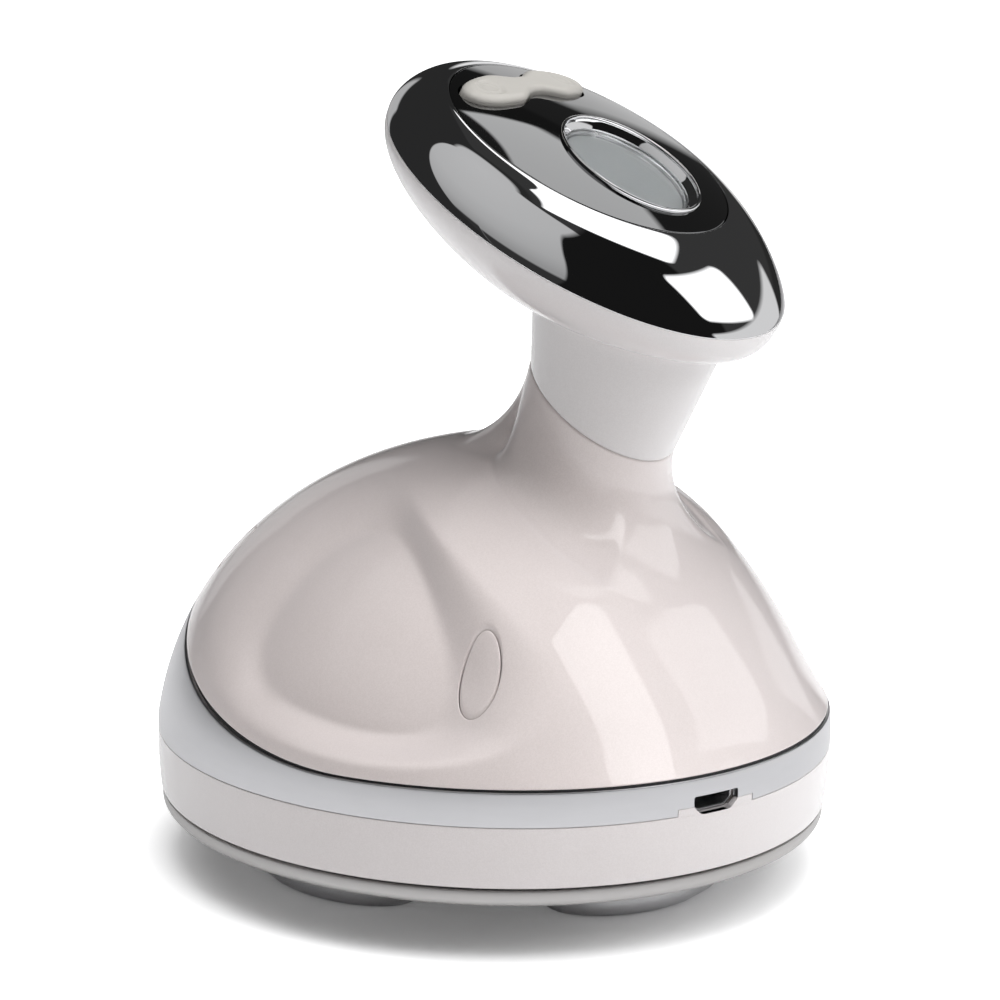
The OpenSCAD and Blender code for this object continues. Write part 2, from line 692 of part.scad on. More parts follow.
// A pair of plugs that close the screw tubes, level with the shell
module screw_plugs(list) {
    color([0.84, 0.81, 0.8])
    intersection() {
        shell_core(0.25);
        places(list, seat_z + 2.2) cylinder(h = 60, r = plug_r, $fn = fine);
    }
}
module front_screw_plugs() {
    screw_plugs(front_places);
}
module rear_screw_plugs() {
    screw_plugs(rear_places);
}

module housing_screws() {
    color([0.7, 0.7, 0.72])
    places(concat(front_places, rear_places), seat_z) screw(2.4, 1.8, 1.4, 12);
}

module neck_sleeve() {
    color([0.8, 0.79, 0.77])
    on_neck() difference() {
        translate([0, 0, -6]) cylinder(h = 12, r = neck_r - 3.3, $fn = fine);
        translate([0, 0, -8]) cylinder(h = 16, r = neck_r - 4.6, $fn = fine);
    }
}

module head_cable() {
    low = [0, -33, board_top + 2.2];
    mid = [0, -neck_y, line_z + neck_z];
    high = panel_point([0, -9, -head_board_depth - board_t - 1.4]);
    color([0.18, 0.18, 0.2])
    stack([for (v = steps(24)) let (t = v < 0.5 ? 2 * v : 2 * v - 1)
        v < 0.5 ? cable_ring(low, low + [0, 0, 22], mid - neck_dir() * 22, mid, t)
            : cable_ring(mid, mid + neck_dir() * 9, panel_point([0, -9, -20]), high, t)]);
}

module head_cup() {
    color([0.9, 0.88, 0.87])
    difference() {
        union() {
            loft(concat(
                [for (v = [0, 0.04, 0.2, 0.4, 0.6, 0.8])
                    [for (u = turns()) collar(u, v, v == 0 ? 0.25 : 0)]],
                [for (v = steps(11)) [for (u = turns()) bowl(u, v, v == 1 ? 0.2 : 0)]],
                [for (v = [1, 0.8, 0.6, 0.4, 0.2, 0]) [for (u = turns()) bowl(u, v, wall_t)]],
                [for (v = [0.5, 0]) [for (u = turns()) collar(u, v, wall_t)]]));
            intersection() {
                cup_core(1);
                on_panel() for (p = frame_places) translate([p[0], p[1], -60])
                    cylinder(h = 51, r = 2.6, $fn = fine);
            }
            on_panel() for (p = frame_places) translate([p[0], p[1], -9.2])
                cylinder(h = 3.1, r = 2.6, $fn = fine);
        }
        on_panel() for (p = frame_places) translate([p[0], p[1], -13])
            cylinder(h = 20, r = 0.85, $fn = fine);
    }
}

module chrome_dome() {
    color([0.8, 0.81, 0.83])
    loft(concat(
        [for (v = [0.006, 0.03, 0.12, 0.24, 0.36, 0.48, 0.6, 0.72, 0.85, 0.97, 1]) [for (u = turns())
            cap_face(u, v, v == 0.006 || v == 1 ? 0.12 : 0)]],
        [for (v = [1, 0.8, 0.6, 0.4, 0.2, 0.006]) [for (u = turns()) cap_face(u, v, 1.5)]]));
}

module head_frame() {
    low = key_y - key_waist - 0.6;
    high = key_y + key_waist + 0.6;
    color([0.3, 0.3, 0.31])
    difference() {
        on_panel() union() {
            difference() {
                union() {
                    intersection() {
                        translate([0, 0, -8]) cylinder(h = 20, r = panel_r - 0.3, $fn = fine);
                        translate([0, 0, panel_crown - crown_r]) difference() {
                            sphere(r = crown_r - panel_t - 0.05, $fn = fine);
                            sphere(r = crown_r - panel_t - 1.75, $fn = fine);
                        }
                    }
                    translate([0, 0, -3.9]) difference() {
                        cylinder(h = 1.2, r = panel_r + 1.2, $fn = fine);
                        translate([0, 0, -1]) cylinder(h = 4, r = panel_r - 2, $fn = fine);
                    }
                    for (p = frame_places) translate([p[0], p[1], -6.1])
                        cylinder(h = 4.2, r = 2.6, $fn = fine);
                    for (p = leg_places) translate([p[0], p[1], -head_board_depth])
                        cylinder(h = head_board_depth - 1.2, r = 1.5, $fn = fine);
                }
                translate([0, 0, -7]) linear_extrude(height = 12)
                    polygon([for (i = [0:47]) key_point(7.5 * i, -1)]);
            }
            translate([-2, low - 2, -4.4]) cube([4, 2, 3.4]);
            translate([-2, high, -4.4]) cube([4, 2, 3.4]);
        }
        on_panel() for (p = frame_places) {
            translate([p[0], p[1], -8]) cylinder(h = 20, r = 1, $fn = fine);
            translate([p[0], p[1], -2.9]) cylinder(h = 20, r = 1.8, $fn = fine);
        }
        on_panel() translate([0, high + 3, -pivot_depth]) rotate([90, 0, 0])
            cylinder(h = high - low + 6, r = 0.8, $fn = fine);
        on_display() translate([0, 0, -20]) cylinder(h = 40, r = bezel_r - 0.1, $fn = fine);
    }
}

module frame_screws() {
    color([0.7, 0.7, 0.72])
    on_panel() for (p = frame_places) translate([p[0], p[1], -2.9]) screw(1.6, 1, 0.8, 8);
}

module mirror_panel() {
    color([0.12, 0.12, 0.13])
    difference() {
        on_panel() intersection() {
            translate([0, 0, -8]) cylinder(h = 20, r = panel_r - 0.2, $fn = fine);
            translate([0, 0, panel_crown - crown_r]) difference() {
                sphere(r = crown_r, $fn = fine);
                sphere(r = crown_r - panel_t, $fn = fine);
            }
        }
        on_display() translate([0, 0, -20]) cylinder(h = 40, r = bezel_r - 0.25, $fn = fine);
        on_panel() translate([0, 0, -6]) linear_extrude(height = 12)
            polygon([for (i = [0:47]) key_point(7.5 * i, -key_gap)]);
    }
}

module display_bezel() {
    color([0.85, 0.86, 0.88])
    on_display() rotate_extrude($fn = fine)
        polygon([[bezel_r - 1.45, -1.6], [bezel_r - 0.35, -1.6], [bezel_r - 0.35, -0.54],
            [bezel_r, -0.54], [bezel_r, -0.3], [bezel_r - 0.1, -0.12], [bezel_r - 0.3, 0],
            [bezel_r - 0.5, 0], [bezel_r - 0.7, -0.12], [bezel_r - 1.45, -1.3]]);
}

module display_lens() {
    color([0.85, 0.88, 0.9, 0.4])
    on_display() translate([0, 0, -2.4]) cylinder(h = 0.8, r = bezel_r - 0.9, $fn = fine);
}

module display_screen() {
    color([0.55, 0.56, 0.57])
    on_display() union() {
        translate([0, 0, -4.2]) cylinder(h = 1.2, r = bezel_r - 1.8, $fn = fine);
        translate([-5, -5, -6.5]) cube([10, 10, 2.4]);
    }
}

module display_well() {
    color([0.9, 0.9, 0.9])
    on_display() rotate_extrude($fn = fine)
        polygon([[bezel_r - 1.7, -8.4], [bezel_r - 0.35, -8.4], [bezel_r - 0.35, -1.6],
            [bezel_r - 0.85, -1.6], [bezel_r - 0.85, -2.4], [bezel_r - 1.7, -2.4]]);
}

module head_board() {
    color([0.1, 0.32, 0.2])
    on_panel() translate([0, 0, -head_board_depth - board_t]) union() {
        cylinder(h = board_t, r = 15.5, $fn = fine);
        translate([-12.5, 4, 0]) cube([25, 14, board_t]);
        translate([-3, -11, -1.4]) cube([6, 4, 1.41]);
        translate([4, 2, -1]) cube([7, 7, 1.01]);
    }
}

module key_switches() {
    color([0.16, 0.16, 0.17])
    on_panel() for (x = [-8, 8]) translate([x, key_y, -head_board_depth]) {
        translate([-3, -3, 0]) cube([6, 6, 2.1]);
        cylinder(h = 2.9, r = 1.6, $fn = fine);
    }
}

module rocker_key() {
    color([0.8, 0.79, 0.76])
    on_panel() difference() {
        union() {
            zipped(concat(
                [for (p = [[0.25, -2], [0, -1.75]]) [for (i = [0:47])
                    let (q = key_point(7.5 * i, p[0])) [q[0], q[1], p[1]]]],
                [for (a = [0:15:90]) [for (i = [0:47])
                    let (q = key_point(7.5 * i, 1.3 * (1 - cos(a))))
                    [q[0], q[1], crown(q[0], q[1]) + key_h - 0.9 + 0.9 * sin(a)]]],
                [[for (i = [0:47]) let (q = key_point(7.5 * i, 1.75))
                    [q[0], q[1], crown(q[0], q[1]) + key_h]]]));
            translate([0, key_y + 2.5, -pivot_depth]) rotate([90, 0, 0])
                cylinder(h = 5, r = 1.9, $fn = fine);
            for (x = [-8, 8]) translate([x, key_y, -4.6]) cylinder(h = 3, r = 1.2, $fn = fine);
        }
        translate([0, key_y + 10, -pivot_depth]) rotate([90, 0, 0])
            cylinder(h = 20, r = 0.86, $fn = fine);
    }
}

module rocker_pin() {
    color([0.75, 0.75, 0.77])
    on_panel() translate([0, key_y + key_waist + 2.4, -pivot_depth]) rotate([90, 0, 0])
        cylinder(h = 2 * key_waist + 4.8, r = 0.8, $fn = fine);
}

base_shell();
bottom_plate();
plate_seal();
front_electrode();
left_electrode();
right_electrode();
electrode_gaskets();
electrode_nuts();
contact_pins();
main_board();
board_screws();
charging_port();
port_tongue();
output_coil();
buzzer();
inner_tray();
tray_screws();
battery();
battery_pad();
power_leads();
vibration_motor();
motor_clip();
clip_screws();
motor_shaft();
motor_weight();
chrome_band();
band_seal();
upper_shell();
front_screw_plugs();
rear_screw_plugs();
housing_screws();
neck_sleeve();
head_cable();
head_cup();
chrome_dome();
head_frame();
frame_screws();
mirror_panel();
display_bezel();
display_lens();
display_screen();
display_well();
head_board();
key_switches();
rocker_key();
rocker_pin();
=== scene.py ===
"""A hand-held body massager: pearl base, satin metal band, leaning neck and polished round head.

Lengths are worked out in millimetres from the same named sizes as the solid part, and are turned
into metres when a mesh is made. The origin is on the floor under the middle of the base, +Z is up
and -Y is the side with the charging port.
"""

import json
import logging
from collections.abc import Callable
from dataclasses import dataclass, field
from enum import Enum

import bmesh
import bpy
import numpy as np
from mathutils import Matrix

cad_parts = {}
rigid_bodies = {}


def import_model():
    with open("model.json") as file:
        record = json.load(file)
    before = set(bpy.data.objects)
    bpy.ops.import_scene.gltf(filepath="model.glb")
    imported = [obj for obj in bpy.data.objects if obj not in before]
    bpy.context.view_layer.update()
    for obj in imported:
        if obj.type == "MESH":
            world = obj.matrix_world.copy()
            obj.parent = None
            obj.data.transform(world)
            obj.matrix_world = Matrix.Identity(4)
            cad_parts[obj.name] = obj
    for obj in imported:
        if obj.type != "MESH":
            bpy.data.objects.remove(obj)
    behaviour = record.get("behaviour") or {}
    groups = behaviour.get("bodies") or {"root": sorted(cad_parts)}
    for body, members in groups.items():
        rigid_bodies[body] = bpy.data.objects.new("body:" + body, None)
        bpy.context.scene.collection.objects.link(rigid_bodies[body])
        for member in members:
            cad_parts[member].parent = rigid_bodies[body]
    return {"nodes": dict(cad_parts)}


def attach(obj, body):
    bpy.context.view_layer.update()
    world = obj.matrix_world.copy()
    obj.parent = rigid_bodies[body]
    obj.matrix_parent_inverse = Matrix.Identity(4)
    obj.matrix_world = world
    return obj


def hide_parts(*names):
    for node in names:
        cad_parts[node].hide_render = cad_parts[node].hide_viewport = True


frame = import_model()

LOG = logging.getLogger("massager")
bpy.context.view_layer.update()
MILLIMETRE = 0.001
DEGREES_PER_RADIAN = 57.29578
# Level directions to the right and away from the camera in the first view, and straight up.
PICTURE_RIGHT = (0.544639, -0.838671, 0.0)
PICTURE_AWAY = (0.838671, 0.544639, 0.0)
UPWARDS = (0.0, 0.0, 1.0)


def sind(angle: np.ndarray) -> np.ndarray:
    """Sine of an angle in degrees."""
    return np.sin(np.radians(angle))


def cosd(angle: np.ndarray) -> np.ndarray:
    """Cosine of an angle in degrees."""
    return np.cos(np.radians(angle))


def smooth(value: np.ndarray) -> np.ndarray:
    """S-shaped step from 0 to 1: three squares less two cubes."""
    kept = np.clip(value, 0.0, 1.0)
    return kept * kept * (3.0 - 2.0 * kept)


def vector(x: np.ndarray, y: np.ndarray, z: np.ndarray) -> np.ndarray:
    """Points from three arrays of coordinates, stretched to one shape."""
    return np.stack(np.broadcast_arrays(x, y, z), axis=-1).astype(float)


def cubic(a: np.ndarray, b: np.ndarray, c: np.ndarray, d: np.ndarray, t: np.ndarray) -> np.ndarray:
    """A cubic curve that starts at a, leaves towards b, arrives from c and ends at d.

    Args:
        a, b, c, d: control points.
        t: way along the curve, 0 to 1.

    Returns:
        The points of the curve, a sum of the four controls weighted by the Bernstein cubics.
    """
    t = np.asarray(t, float)[..., None]
    s = 1.0 - t
    return s**3 * a + 3.0 * s * s * t * b + 3.0 * s * t * t * c + t**3 * d


@dataclass(frozen=True)
class Form:
    """The outer forms of the massager, as functions of the angle u from the front and a way v."""

    base_r: float = 50.0
    line_z: float = 20.0
    wall_h: float = 8.75
    pad_h: float = 7.4
    pad_span: float = 41.0
    pad_square: float = 0.45
    pad_inner: float = 15.0
    wall_t: float = 2.0
    band_h: float = 4.9
    tail_h: float = 16.5
    tail_start: float = 82.0
    joint_gap: float = 0.35
    dome_h: float = 44.5
    dome_p: float = 1.88
    dome_q: float = 1.66
    lean: float = 8.1
    scoop: float = 4.4
    side_depth: float = 3.2
    neck_r: float = 12.3
    neck_y: float = 17.2
    neck_z: float = 51.0
    neck_tilt: float = 36.5
    head_r: float = 30.4
    head_long: float = 1.05
    head_y: float = 13.5
    head_z: float = 78.5
    head_tilt: float = 29.0
    panel_r: float = 21.8
    panel_z: float = 87.05
    panel_tilt: float = 28.0
    crown_h: float = 2.25
    bezel_r: float = 11.2
    display_y: float = 6.9
    key_y: float = 13.5
    key_len: float = 13.9
    key_w: float = 3.8
    key_waist: float = 2.1
    key_h: float = 1.2
    port_angle: float = 18.9
    port_w: float = 7.9
    port_h: float = 2.6
    port_z: float = 1.1

    @property
    def wall_z(self) -> float:
        """Height of the underside of the side wall."""
        return self.line_z - self.wall_h

    @property
    def plate_z(self) -> float:
        """Height of the underside of the bottom plate at its edge."""
        return self.wall_z - 3.0

    @property
    def crown_r(self) -> float:
        """Radius of the sphere that the mirror panel is cut from."""
        return (self.panel_r**2 + self.crown_h**2) / (2.0 * self.crown_h)

    @property
    def neck_way(self) -> np.ndarray:
        """Direction of the neck, upwards."""
        return np.array([0.0, -sind(16.4), cosd(16.4)])

    def band_top(self, u: np.ndarray) -> np.ndarray:
        """Height of the band's upper edge over the widest line: level, then a smooth climb."""
        return self.band_h + self.tail_h * smooth((np.abs(u) - self.tail_start) / (180.0 - self.tail_start))

    def dome(self, u: np.ndarray, h: np.ndarray, k: np.ndarray = 0.0) -> np.ndarray:
        """The dome before the scoops: a rounded cone whose powers change from front to back.

        Args:
            u: angle from the front in degrees.
            h: height over the widest line.
            k: inset from the outer face.

        Returns:
            Points whose radius is (1 - t^q)^(1/p) of the base, t being the share of the height.
        """
        foot = 1.65
        t = np.clip((h - foot) / (self.dome_h - k - foot), 0.0, 0.9999)
        p = self.dome_p - 0.27 * cosd(u)
        q = self.dome_q - 0.675 * cosd(u)
        ahead = (1.0 + cosd(u)) / 2.0
        flare = 0.5 * ahead**3 * np.exp(-(((h - self.band_h) / 3.5) ** 2))
        flare = flare + 1.2 * ahead**6 * np.exp(-np.maximum(h - self.band_h, 0.0) / 2.2)
        r = (self.base_r - k) * (1.0 - t**q) ** (1.0 / p) + flare
        return vector(r * sind(u), -self.lean * t - r * cosd(u), self.line_z + h)

    def scoop_mask(self, p: np.ndarray) -> np.ndarray:
        """Share of the scoops' full depth at a point: a slanted egg outline seen from the side.

        Args:
            p: points of the dome, before the scoops.

        Returns:
            A share from 0 outside the scoops to 1 in their deepest part.
        """
        across = -p[..., 1] - 1.95
        along = p[..., 2] - self.line_z - 21.75
        slant = -16.7
        a = (across * cosd(slant) + along * sind(slant)) / 29.5
        b = (along * cosd(slant) - across * sind(slant)) / (14.85 * (1.0 - 0.36 * np.clip(a, -1.0, 1.0)))
        rim = 1.0 - (np.abs(a) ** 2.4 + np.abs(b) ** 2.4) ** (1.0 / 2.4)
        upper = smooth((b + 0.6) / 1.2)
        wide = 0.18 + 0.5 * smooth((a + 0.1) / 0.9) + 0.55 * smooth((-0.15 - a) / 0.65)
        low = 0.36 + 0.36 * smooth((-0.3 - a) / 0.6)
        bank = low * (1.0 - upper) + wide * upper
        deep = 0.62 + 0.38 * smooth((a + 0.4) / 1.2)
        return smooth(rim / bank) * deep * smooth((np.abs(p[..., 0]) - 6.0) / 10.0)

    def scooped(self, p: np.ndarray) -> np.ndarray:
        """Points moved inwards, about square to the dome, by the depth of the scoops."""
        n = vector(p[..., 0], p[..., 1], (p[..., 2] - self.line_z) / 0.75)
        n = n / np.linalg.norm(n, axis=-1, keepdims=True)
        return p - n * self.scoop * self.scoop_mask(p)[..., None]

    def neck_foot(self, u: np.ndarray) -> np.ndarray:
        """Height over the widest line at which the neck meets the dome."""
        return self.dome_h * np.minimum(0.991, 0.615 + 0.398 * smooth(np.abs(u) / 120.6))

    def hoop(self, u: np.ndarray, y: float, z: float, r: float, tilt: float,
             stretch: float = 1.0) -> np.ndarray:
        """A tilted circle or ellipse round the symmetry plane.

        Args:
            u: angle from the front in degrees.
            y: how far the middle lies in front of the origin.
            z: height of the middle over the widest line.
            r: radius across the symmetry plane.
            tilt: tilt towards the front in degrees.
            stretch: length along the tilted direction over the width.

        Returns:
            Points of the hoop.
        """
        ahead = stretch * r * cosd(u)
        return vector(r * sind(u), -y - ahead * cosd(tilt), self.line_z + z - ahead * sind(tilt))

    def parting(self, u: np.ndarray, k: np.ndarray = 0.0) -> np.ndarray:
        """The line at which the neck parts into shell and collar."""
        return self.hoop(u, self.neck_y, self.neck_z, self.neck_r - k, self.neck_tilt)

    def shell_start(self, u: np.ndarray) -> np.ndarray:
        """Height of the upper shell's lower edge over the widest line."""
        return self.band_top(u) + self.joint_gap

    def skin_top(self, u: np.ndarray, k: np.ndarray = 0.0) -> np.ndarray:
        """Height over the widest line at which the dome's own face ends under the neck."""
        front = 1.0 - smooth((np.abs(u) - 12.0) / 60.0)
        return self.neck_foot(u) * (self.dome_h - k) / self.dome_h - 1.0 - 2.35 * front

    def side_draw(self, u: np.ndarray, v: np.ndarray) -> np.ndarray:
        """How far the neck's foot is drawn in at each side, beside the fold that runs down its front."""
        s = np.maximum(0.0, (np.abs(u) - 34.0 + 23.0 * (v - 1.0)) / 22.0)
        flat = s * s / (s * s + 0.25 * s + 0.12) * (1.0 - smooth((np.abs(u) - 62.0) / 52.0))
        return self.side_depth * flat * smooth((v - 0.86) / 0.22) * (1.0 - smooth((v - 1.2) / 0.75))

    def skin(self, u: np.ndarray, v: np.ndarray, k: np.ndarray = 0.0) -> np.ndarray:
        """The skin of the upper shell.

        Args:
            u: angle from the front in degrees.
            v: 0 at the lower edge, 1 at the neck's foot, 2 at the parting line.
            k: inset from the outer face.

        Returns:
            Points on the scooped dome up to v = 1, then on cubic curves up the neck.
        """
        u, v = np.broadcast_arrays(np.asarray(u, float), np.asarray(v, float))
        low = self.shell_start(u)
        high = self.skin_top(u, k)
        on_dome = self.scooped(self.dome(u, low + (high - low) * np.minimum(v, 1.0), k))
        foot = self.scooped(self.dome(u, high, k))
        corner = self.dome(u, self.neck_foot(u) * (self.dome_h - k) / self.dome_h, k)
        turn = np.degrees(np.arctan2(corner[..., 0], -corner[..., 1] - self.neck_y))
        top = self.parting(turn, k)
        on_neck = cubic(foot, corner, top - self.neck_way * 9.0, top, np.clip(v - 1.0, 0.0, 1.0))
        inward = vector(sind(turn), -cosd(turn), np.zeros_like(turn)) * self.side_draw(u, v)[..., None]
        return np.where((v <= 1.0)[..., None], on_dome, on_neck) - inward

    def skin_over(self, x: np.ndarray, y: np.ndarray, k: np.ndarray) -> np.ndarray:
        """Points of the scooped dome over places of the plan, found by Newton steps.

        Args:
            x, y: places of the plan.
            k: inset from the outer face.

        Returns:
            Points with those x and y on the dome's inset face.
        """
        x, y, k = np.broadcast_arrays(x, y, np.asarray(k, float))
        u = np.degrees(np.arctan2(x, -y))
        h = np.full(x.shape, 18.0)
        for _ in range(14):
            now = self.scooped(self.dome(u, h, k))
            by_u = (self.scooped(self.dome(u + 0.01, h, k)) - now) / 0.01
            by_h = (self.scooped(self.dome(u, h + 0.001, k)) - now) / 0.001
            off_x = x - now[..., 0]
            off_y = y - now[..., 1]
            area = by_u[..., 0] * by_h[..., 1] - by_h[..., 0] * by_u[..., 1]
            u = u + np.clip((off_x * by_h[..., 1] - off_y * by_h[..., 0]) / area, -4.0, 4.0)
            rise = np.clip((by_u[..., 0] * off_y - by_u[..., 1] * off_x) / area, -3.0, 3.0)
            h = np.clip(h + rise, 6.0, 40.0)
        return self.scooped(self.dome(u, h, k))

    def band_face(self, u: np.ndarray, h: np.ndarray, k: np.ndarray = 0.0) -> np.ndarray:
        """The band's outer face: upright in front, and leaning with the dome at the back.

        Args:
            u: angle round the object from the front, in degrees.
            h: height over the widest line.
            k: inset from the surface.

        Returns:
            The points of the band's face.
        """
        share = smooth((np.abs(u) - 80.0) / 60.0)[..., None]
        d = self.base_r - k - 0.012 * h * h
        upright = vector(d * sind(u), -d * cosd(u), self.line_z + h)
        return upright * (1.0 - share) + self.dome(u, h, k) * share

    def crease(self, u: np.ndarray, k: np.ndarray = 0.0) -> np.ndarray:
        """The soft line between the head's collar and bowl."""
        return self.hoop(u, self.neck_y + 3.8, self.neck_z + 12.9, self.neck_r + 2.0 - k, 17.2)

    def rim(self, u: np.ndarray, k: np.ndarray = 0.0) -> np.ndarray:
        """The line between the head's bowl and the polished dome."""
        return self.hoop(u, self.head_y, self.head_z, self.head_r - k, self.head_tilt, self.head_long)

    def collar(self, u: np.ndarray, v: np.ndarray, k: np.ndarray = 0.0) -> np.ndarray:
        """Straight lines from the parting line to the crease."""
        v = np.asarray(v, float)[..., None]
        return self.parting(u, k) * (1.0 - v) + self.crease(u, k) * v

    def bowl(self, u: np.ndarray, v: np.ndarray, k: np.ndarray = 0.0) -> np.ndarray:
        """Cubic curves that leave the crease outwards and arrive square to the rim.

        Args:
            u: angle round the object from the front, in degrees.
            v: way from the crease, 0, to the rim, 1.
            k: inset from the surface.

        Returns:
            The points of the bowl.
        """
        low = self.crease(u, k)
        high = self.rim(u, k)
        out = low - self.hoop(u, self.neck_y + 3.8, self.neck_z + 12.9, 0.0, 17.2)
        out = out / np.linalg.norm(out, axis=-1, keepdims=True)
        drop = (np.maximum(0.5, 2.6 - 4.5 * cosd(u)) - k)[..., None]
        up = np.array([0.0, -sind(self.head_tilt), cosd(self.head_tilt)])
        reach = (8.5 - 2.2 * cosd(u))[..., None]
        inset = np.asarray(k, float)[..., None] if np.ndim(k) else k
        return cubic(low, low + out * reach + self.neck_way * inset, high - up * drop, high, v)

    def cap(self, u: np.ndarray, v: np.ndarray, k: np.ndarray = 0.0) -> np.ndarray:
        """The polished dome: a flattened quarter round from the rim, v = 0, to the panel, v = 1.

        Args:
            u: angle round the object from the front, in degrees.
            v: way from the rim to the panel.
            k: inset from the surface.

        Returns:
            The points of the polished dome.
        """
        c = cosd(v * 90.0) ** 1.31
        s = sind(v * 90.0) ** 1.31
        tilt = self.head_tilt + (self.panel_tilt - self.head_tilt) * s
        y = self.head_y + 0.03 * s - k * s * sind(tilt)
        z = self.head_z + (self.panel_z - self.head_z) * s - k * s * cosd(tilt)
        r = self.panel_r + (self.head_r - self.panel_r) * c - k * c
        return self.hoop(u, y, z, r, tilt, self.head_long + (1.0 - self.head_long) * s)

    def crown(self, x: np.ndarray, y: np.ndarray) -> np.ndarray:
        """Height of the crowned panel over its edge, a shallow part of a sphere."""
        return self.crown_h - self.crown_r + np.sqrt(self.crown_r**2 - x * x - y * y)

    def on_panel(self, p: np.ndarray) -> np.ndarray:
        """Points given in the panel's own directions: +Z out of it, +Y to the back.

        Args:
            p: points in the panel's directions, from its middle.

        Returns:
            The same points in the object's frame.
        """
        c = cosd(self.panel_tilt)
        s = sind(self.panel_tilt)
        y = -self.head_y - 0.03 + p[..., 1] * c - p[..., 2] * s
        return vector(p[..., 0], y, self.line_z + self.panel_z + p[..., 1] * s + p[..., 2] * c)

    def on_display(self, p: np.ndarray) -> np.ndarray:
        """Points given round the display's middle, +Z square to the crowned panel.

        Args:
            p: points in the display's directions, from its middle.

        Returns:
            The same points in the object's frame.
        """
        s = self.display_y / self.crown_r
        c = np.sqrt(1.0 - s * s)
        z = p[..., 2] + self.crown_r
        turned = vector(p[..., 0], p[..., 1] * c - z * s, p[..., 1] * s + z * c + self.crown_h - self.crown_r)
        return self.on_panel(turned)

    def key_outline(self, s: np.ndarray, k: np.ndarray) -> tuple[np.ndarray, np.ndarray]:
        """Outline of the rocker key in the panel's plane: two lobes and a waist.

        Args:
            s: angle round the outline in degrees.
            k: inset.

        Returns:
            The x and y of the outline.
        """
        x = (self.key_len - k) * cosd(s)
        w = self.key_waist + (self.key_w - self.key_waist) * smooth((np.abs(x) - 0.8) / 5.2)
        y = self.key_y + (w - k) * np.sign(sind(s)) * np.sqrt(np.maximum(0.0, 1.0 - np.abs(cosd(s)) ** 4.5))
        return x, y

    def pad_outer(self, u: np.ndarray) -> np.ndarray:
        """Distance of an electrode's outer edge from the axis: a circle about a point in front of it."""
        return 12.6 * cosd(u) + np.sqrt(583.0 - (12.6 * sind(u)) ** 2)

    def pad_outline(self, s: np.ndarray, k: np.ndarray) -> np.ndarray:
        """Outline of an electrode in plan: a bean with rounded corners along an arc.

        Args:
            s: angle round the outline in degrees.
            k: inset.

        Returns:
            The x and y of the outline.
        """
        a = np.sign(cosd(s)) * np.abs(cosd(s)) ** self.pad_square
        b = np.sign(sind(s)) * np.abs(sind(s)) ** self.pad_square
        u = self.pad_span * a - np.sign(a) * 1.6 * k * np.abs(a)
        outer = self.pad_outer(u) - k
        inner = self.pad_inner + k
        d = inner + (outer - inner) * (1.0 - b) / 2.0
        return np.stack([d * sind(u), -d * cosd(u)], axis=-1)


FORM = Form()


@dataclass
class Sheet:
    """Rings of points woven into four-sided faces, closed round each ring.

    Args:
        rings: an array of rings by columns by three coordinates, in millimetres.
        looped: True where the last ring also joins the first one.
    """

    rings: np.ndarray
    looped: bool = False

    def faces(self) -> np.ndarray:
        """The corner numbers of the faces, four for each.

        Returns:
            One row of four corner numbers for each face.
        """
        n, m = self.rings.shape[:2]
        rows = np.arange(n if self.looped else n - 1)
        columns = np.arange(m)
        a = rows[:, None] * m + columns
        b = rows[:, None] * m + (columns + 1) % m
        c = ((rows + 1) % n)[:, None] * m + (columns + 1) % m
        d = ((rows + 1) % n)[:, None] * m + columns
        return np.stack([a, b, c, d], axis=-1).reshape(-1, 4)


def turns(count: int) -> np.ndarray:
    """Even angles round a shell, from the back round the front."""
    return -180.0 + 360.0 * np.arange(count) / count


def rows_of(function: Callable[..., np.ndarray], rows: list[tuple[float, float]], count: int) -> np.ndarray:
    """Rings of a form at given ways and insets.

    Args:
        function: a form that takes u, v and k.
        rows: a way and an inset for each ring.
        count: columns round the form.

    Returns:
        An array of rings.
    """
    table = np.array(rows, float)
    u = np.broadcast_to(turns(count), (len(rows), count))
    v = np.broadcast_to(table[:, :1], u.shape)
    k = np.broadcast_to(table[:, 1:2], u.shape)
    return function(u, v, k)


def lathe(profile: list[tuple[float, float]], count: int, looped: bool = False) -> Sheet:
    """A profile of distances and heights turned round the Z axis."""
    line = np.array(profile, float)
    u = turns(count)[None, :]
    return Sheet(vector(line[:, :1] * sind(u), -line[:, :1] * cosd(u), line[:, 1:2]), looped)


def capped(rings: np.ndarray) -> Sheet:
    """Rings with both ends closed to their middle points."""
    low = np.broadcast_to(rings[0].mean(axis=0), rings[:1].shape)
    high = np.broadcast_to(rings[-1].mean(axis=0), rings[:1].shape)
    return Sheet(np.concatenate([low, rings, high]))


def moved(sheet: Sheet, x: float, y: float, z: float = 0.0) -> Sheet:
    """A sheet carried to a place."""
    return Sheet(sheet.rings + np.array([x, y, z]), sheet.looped)


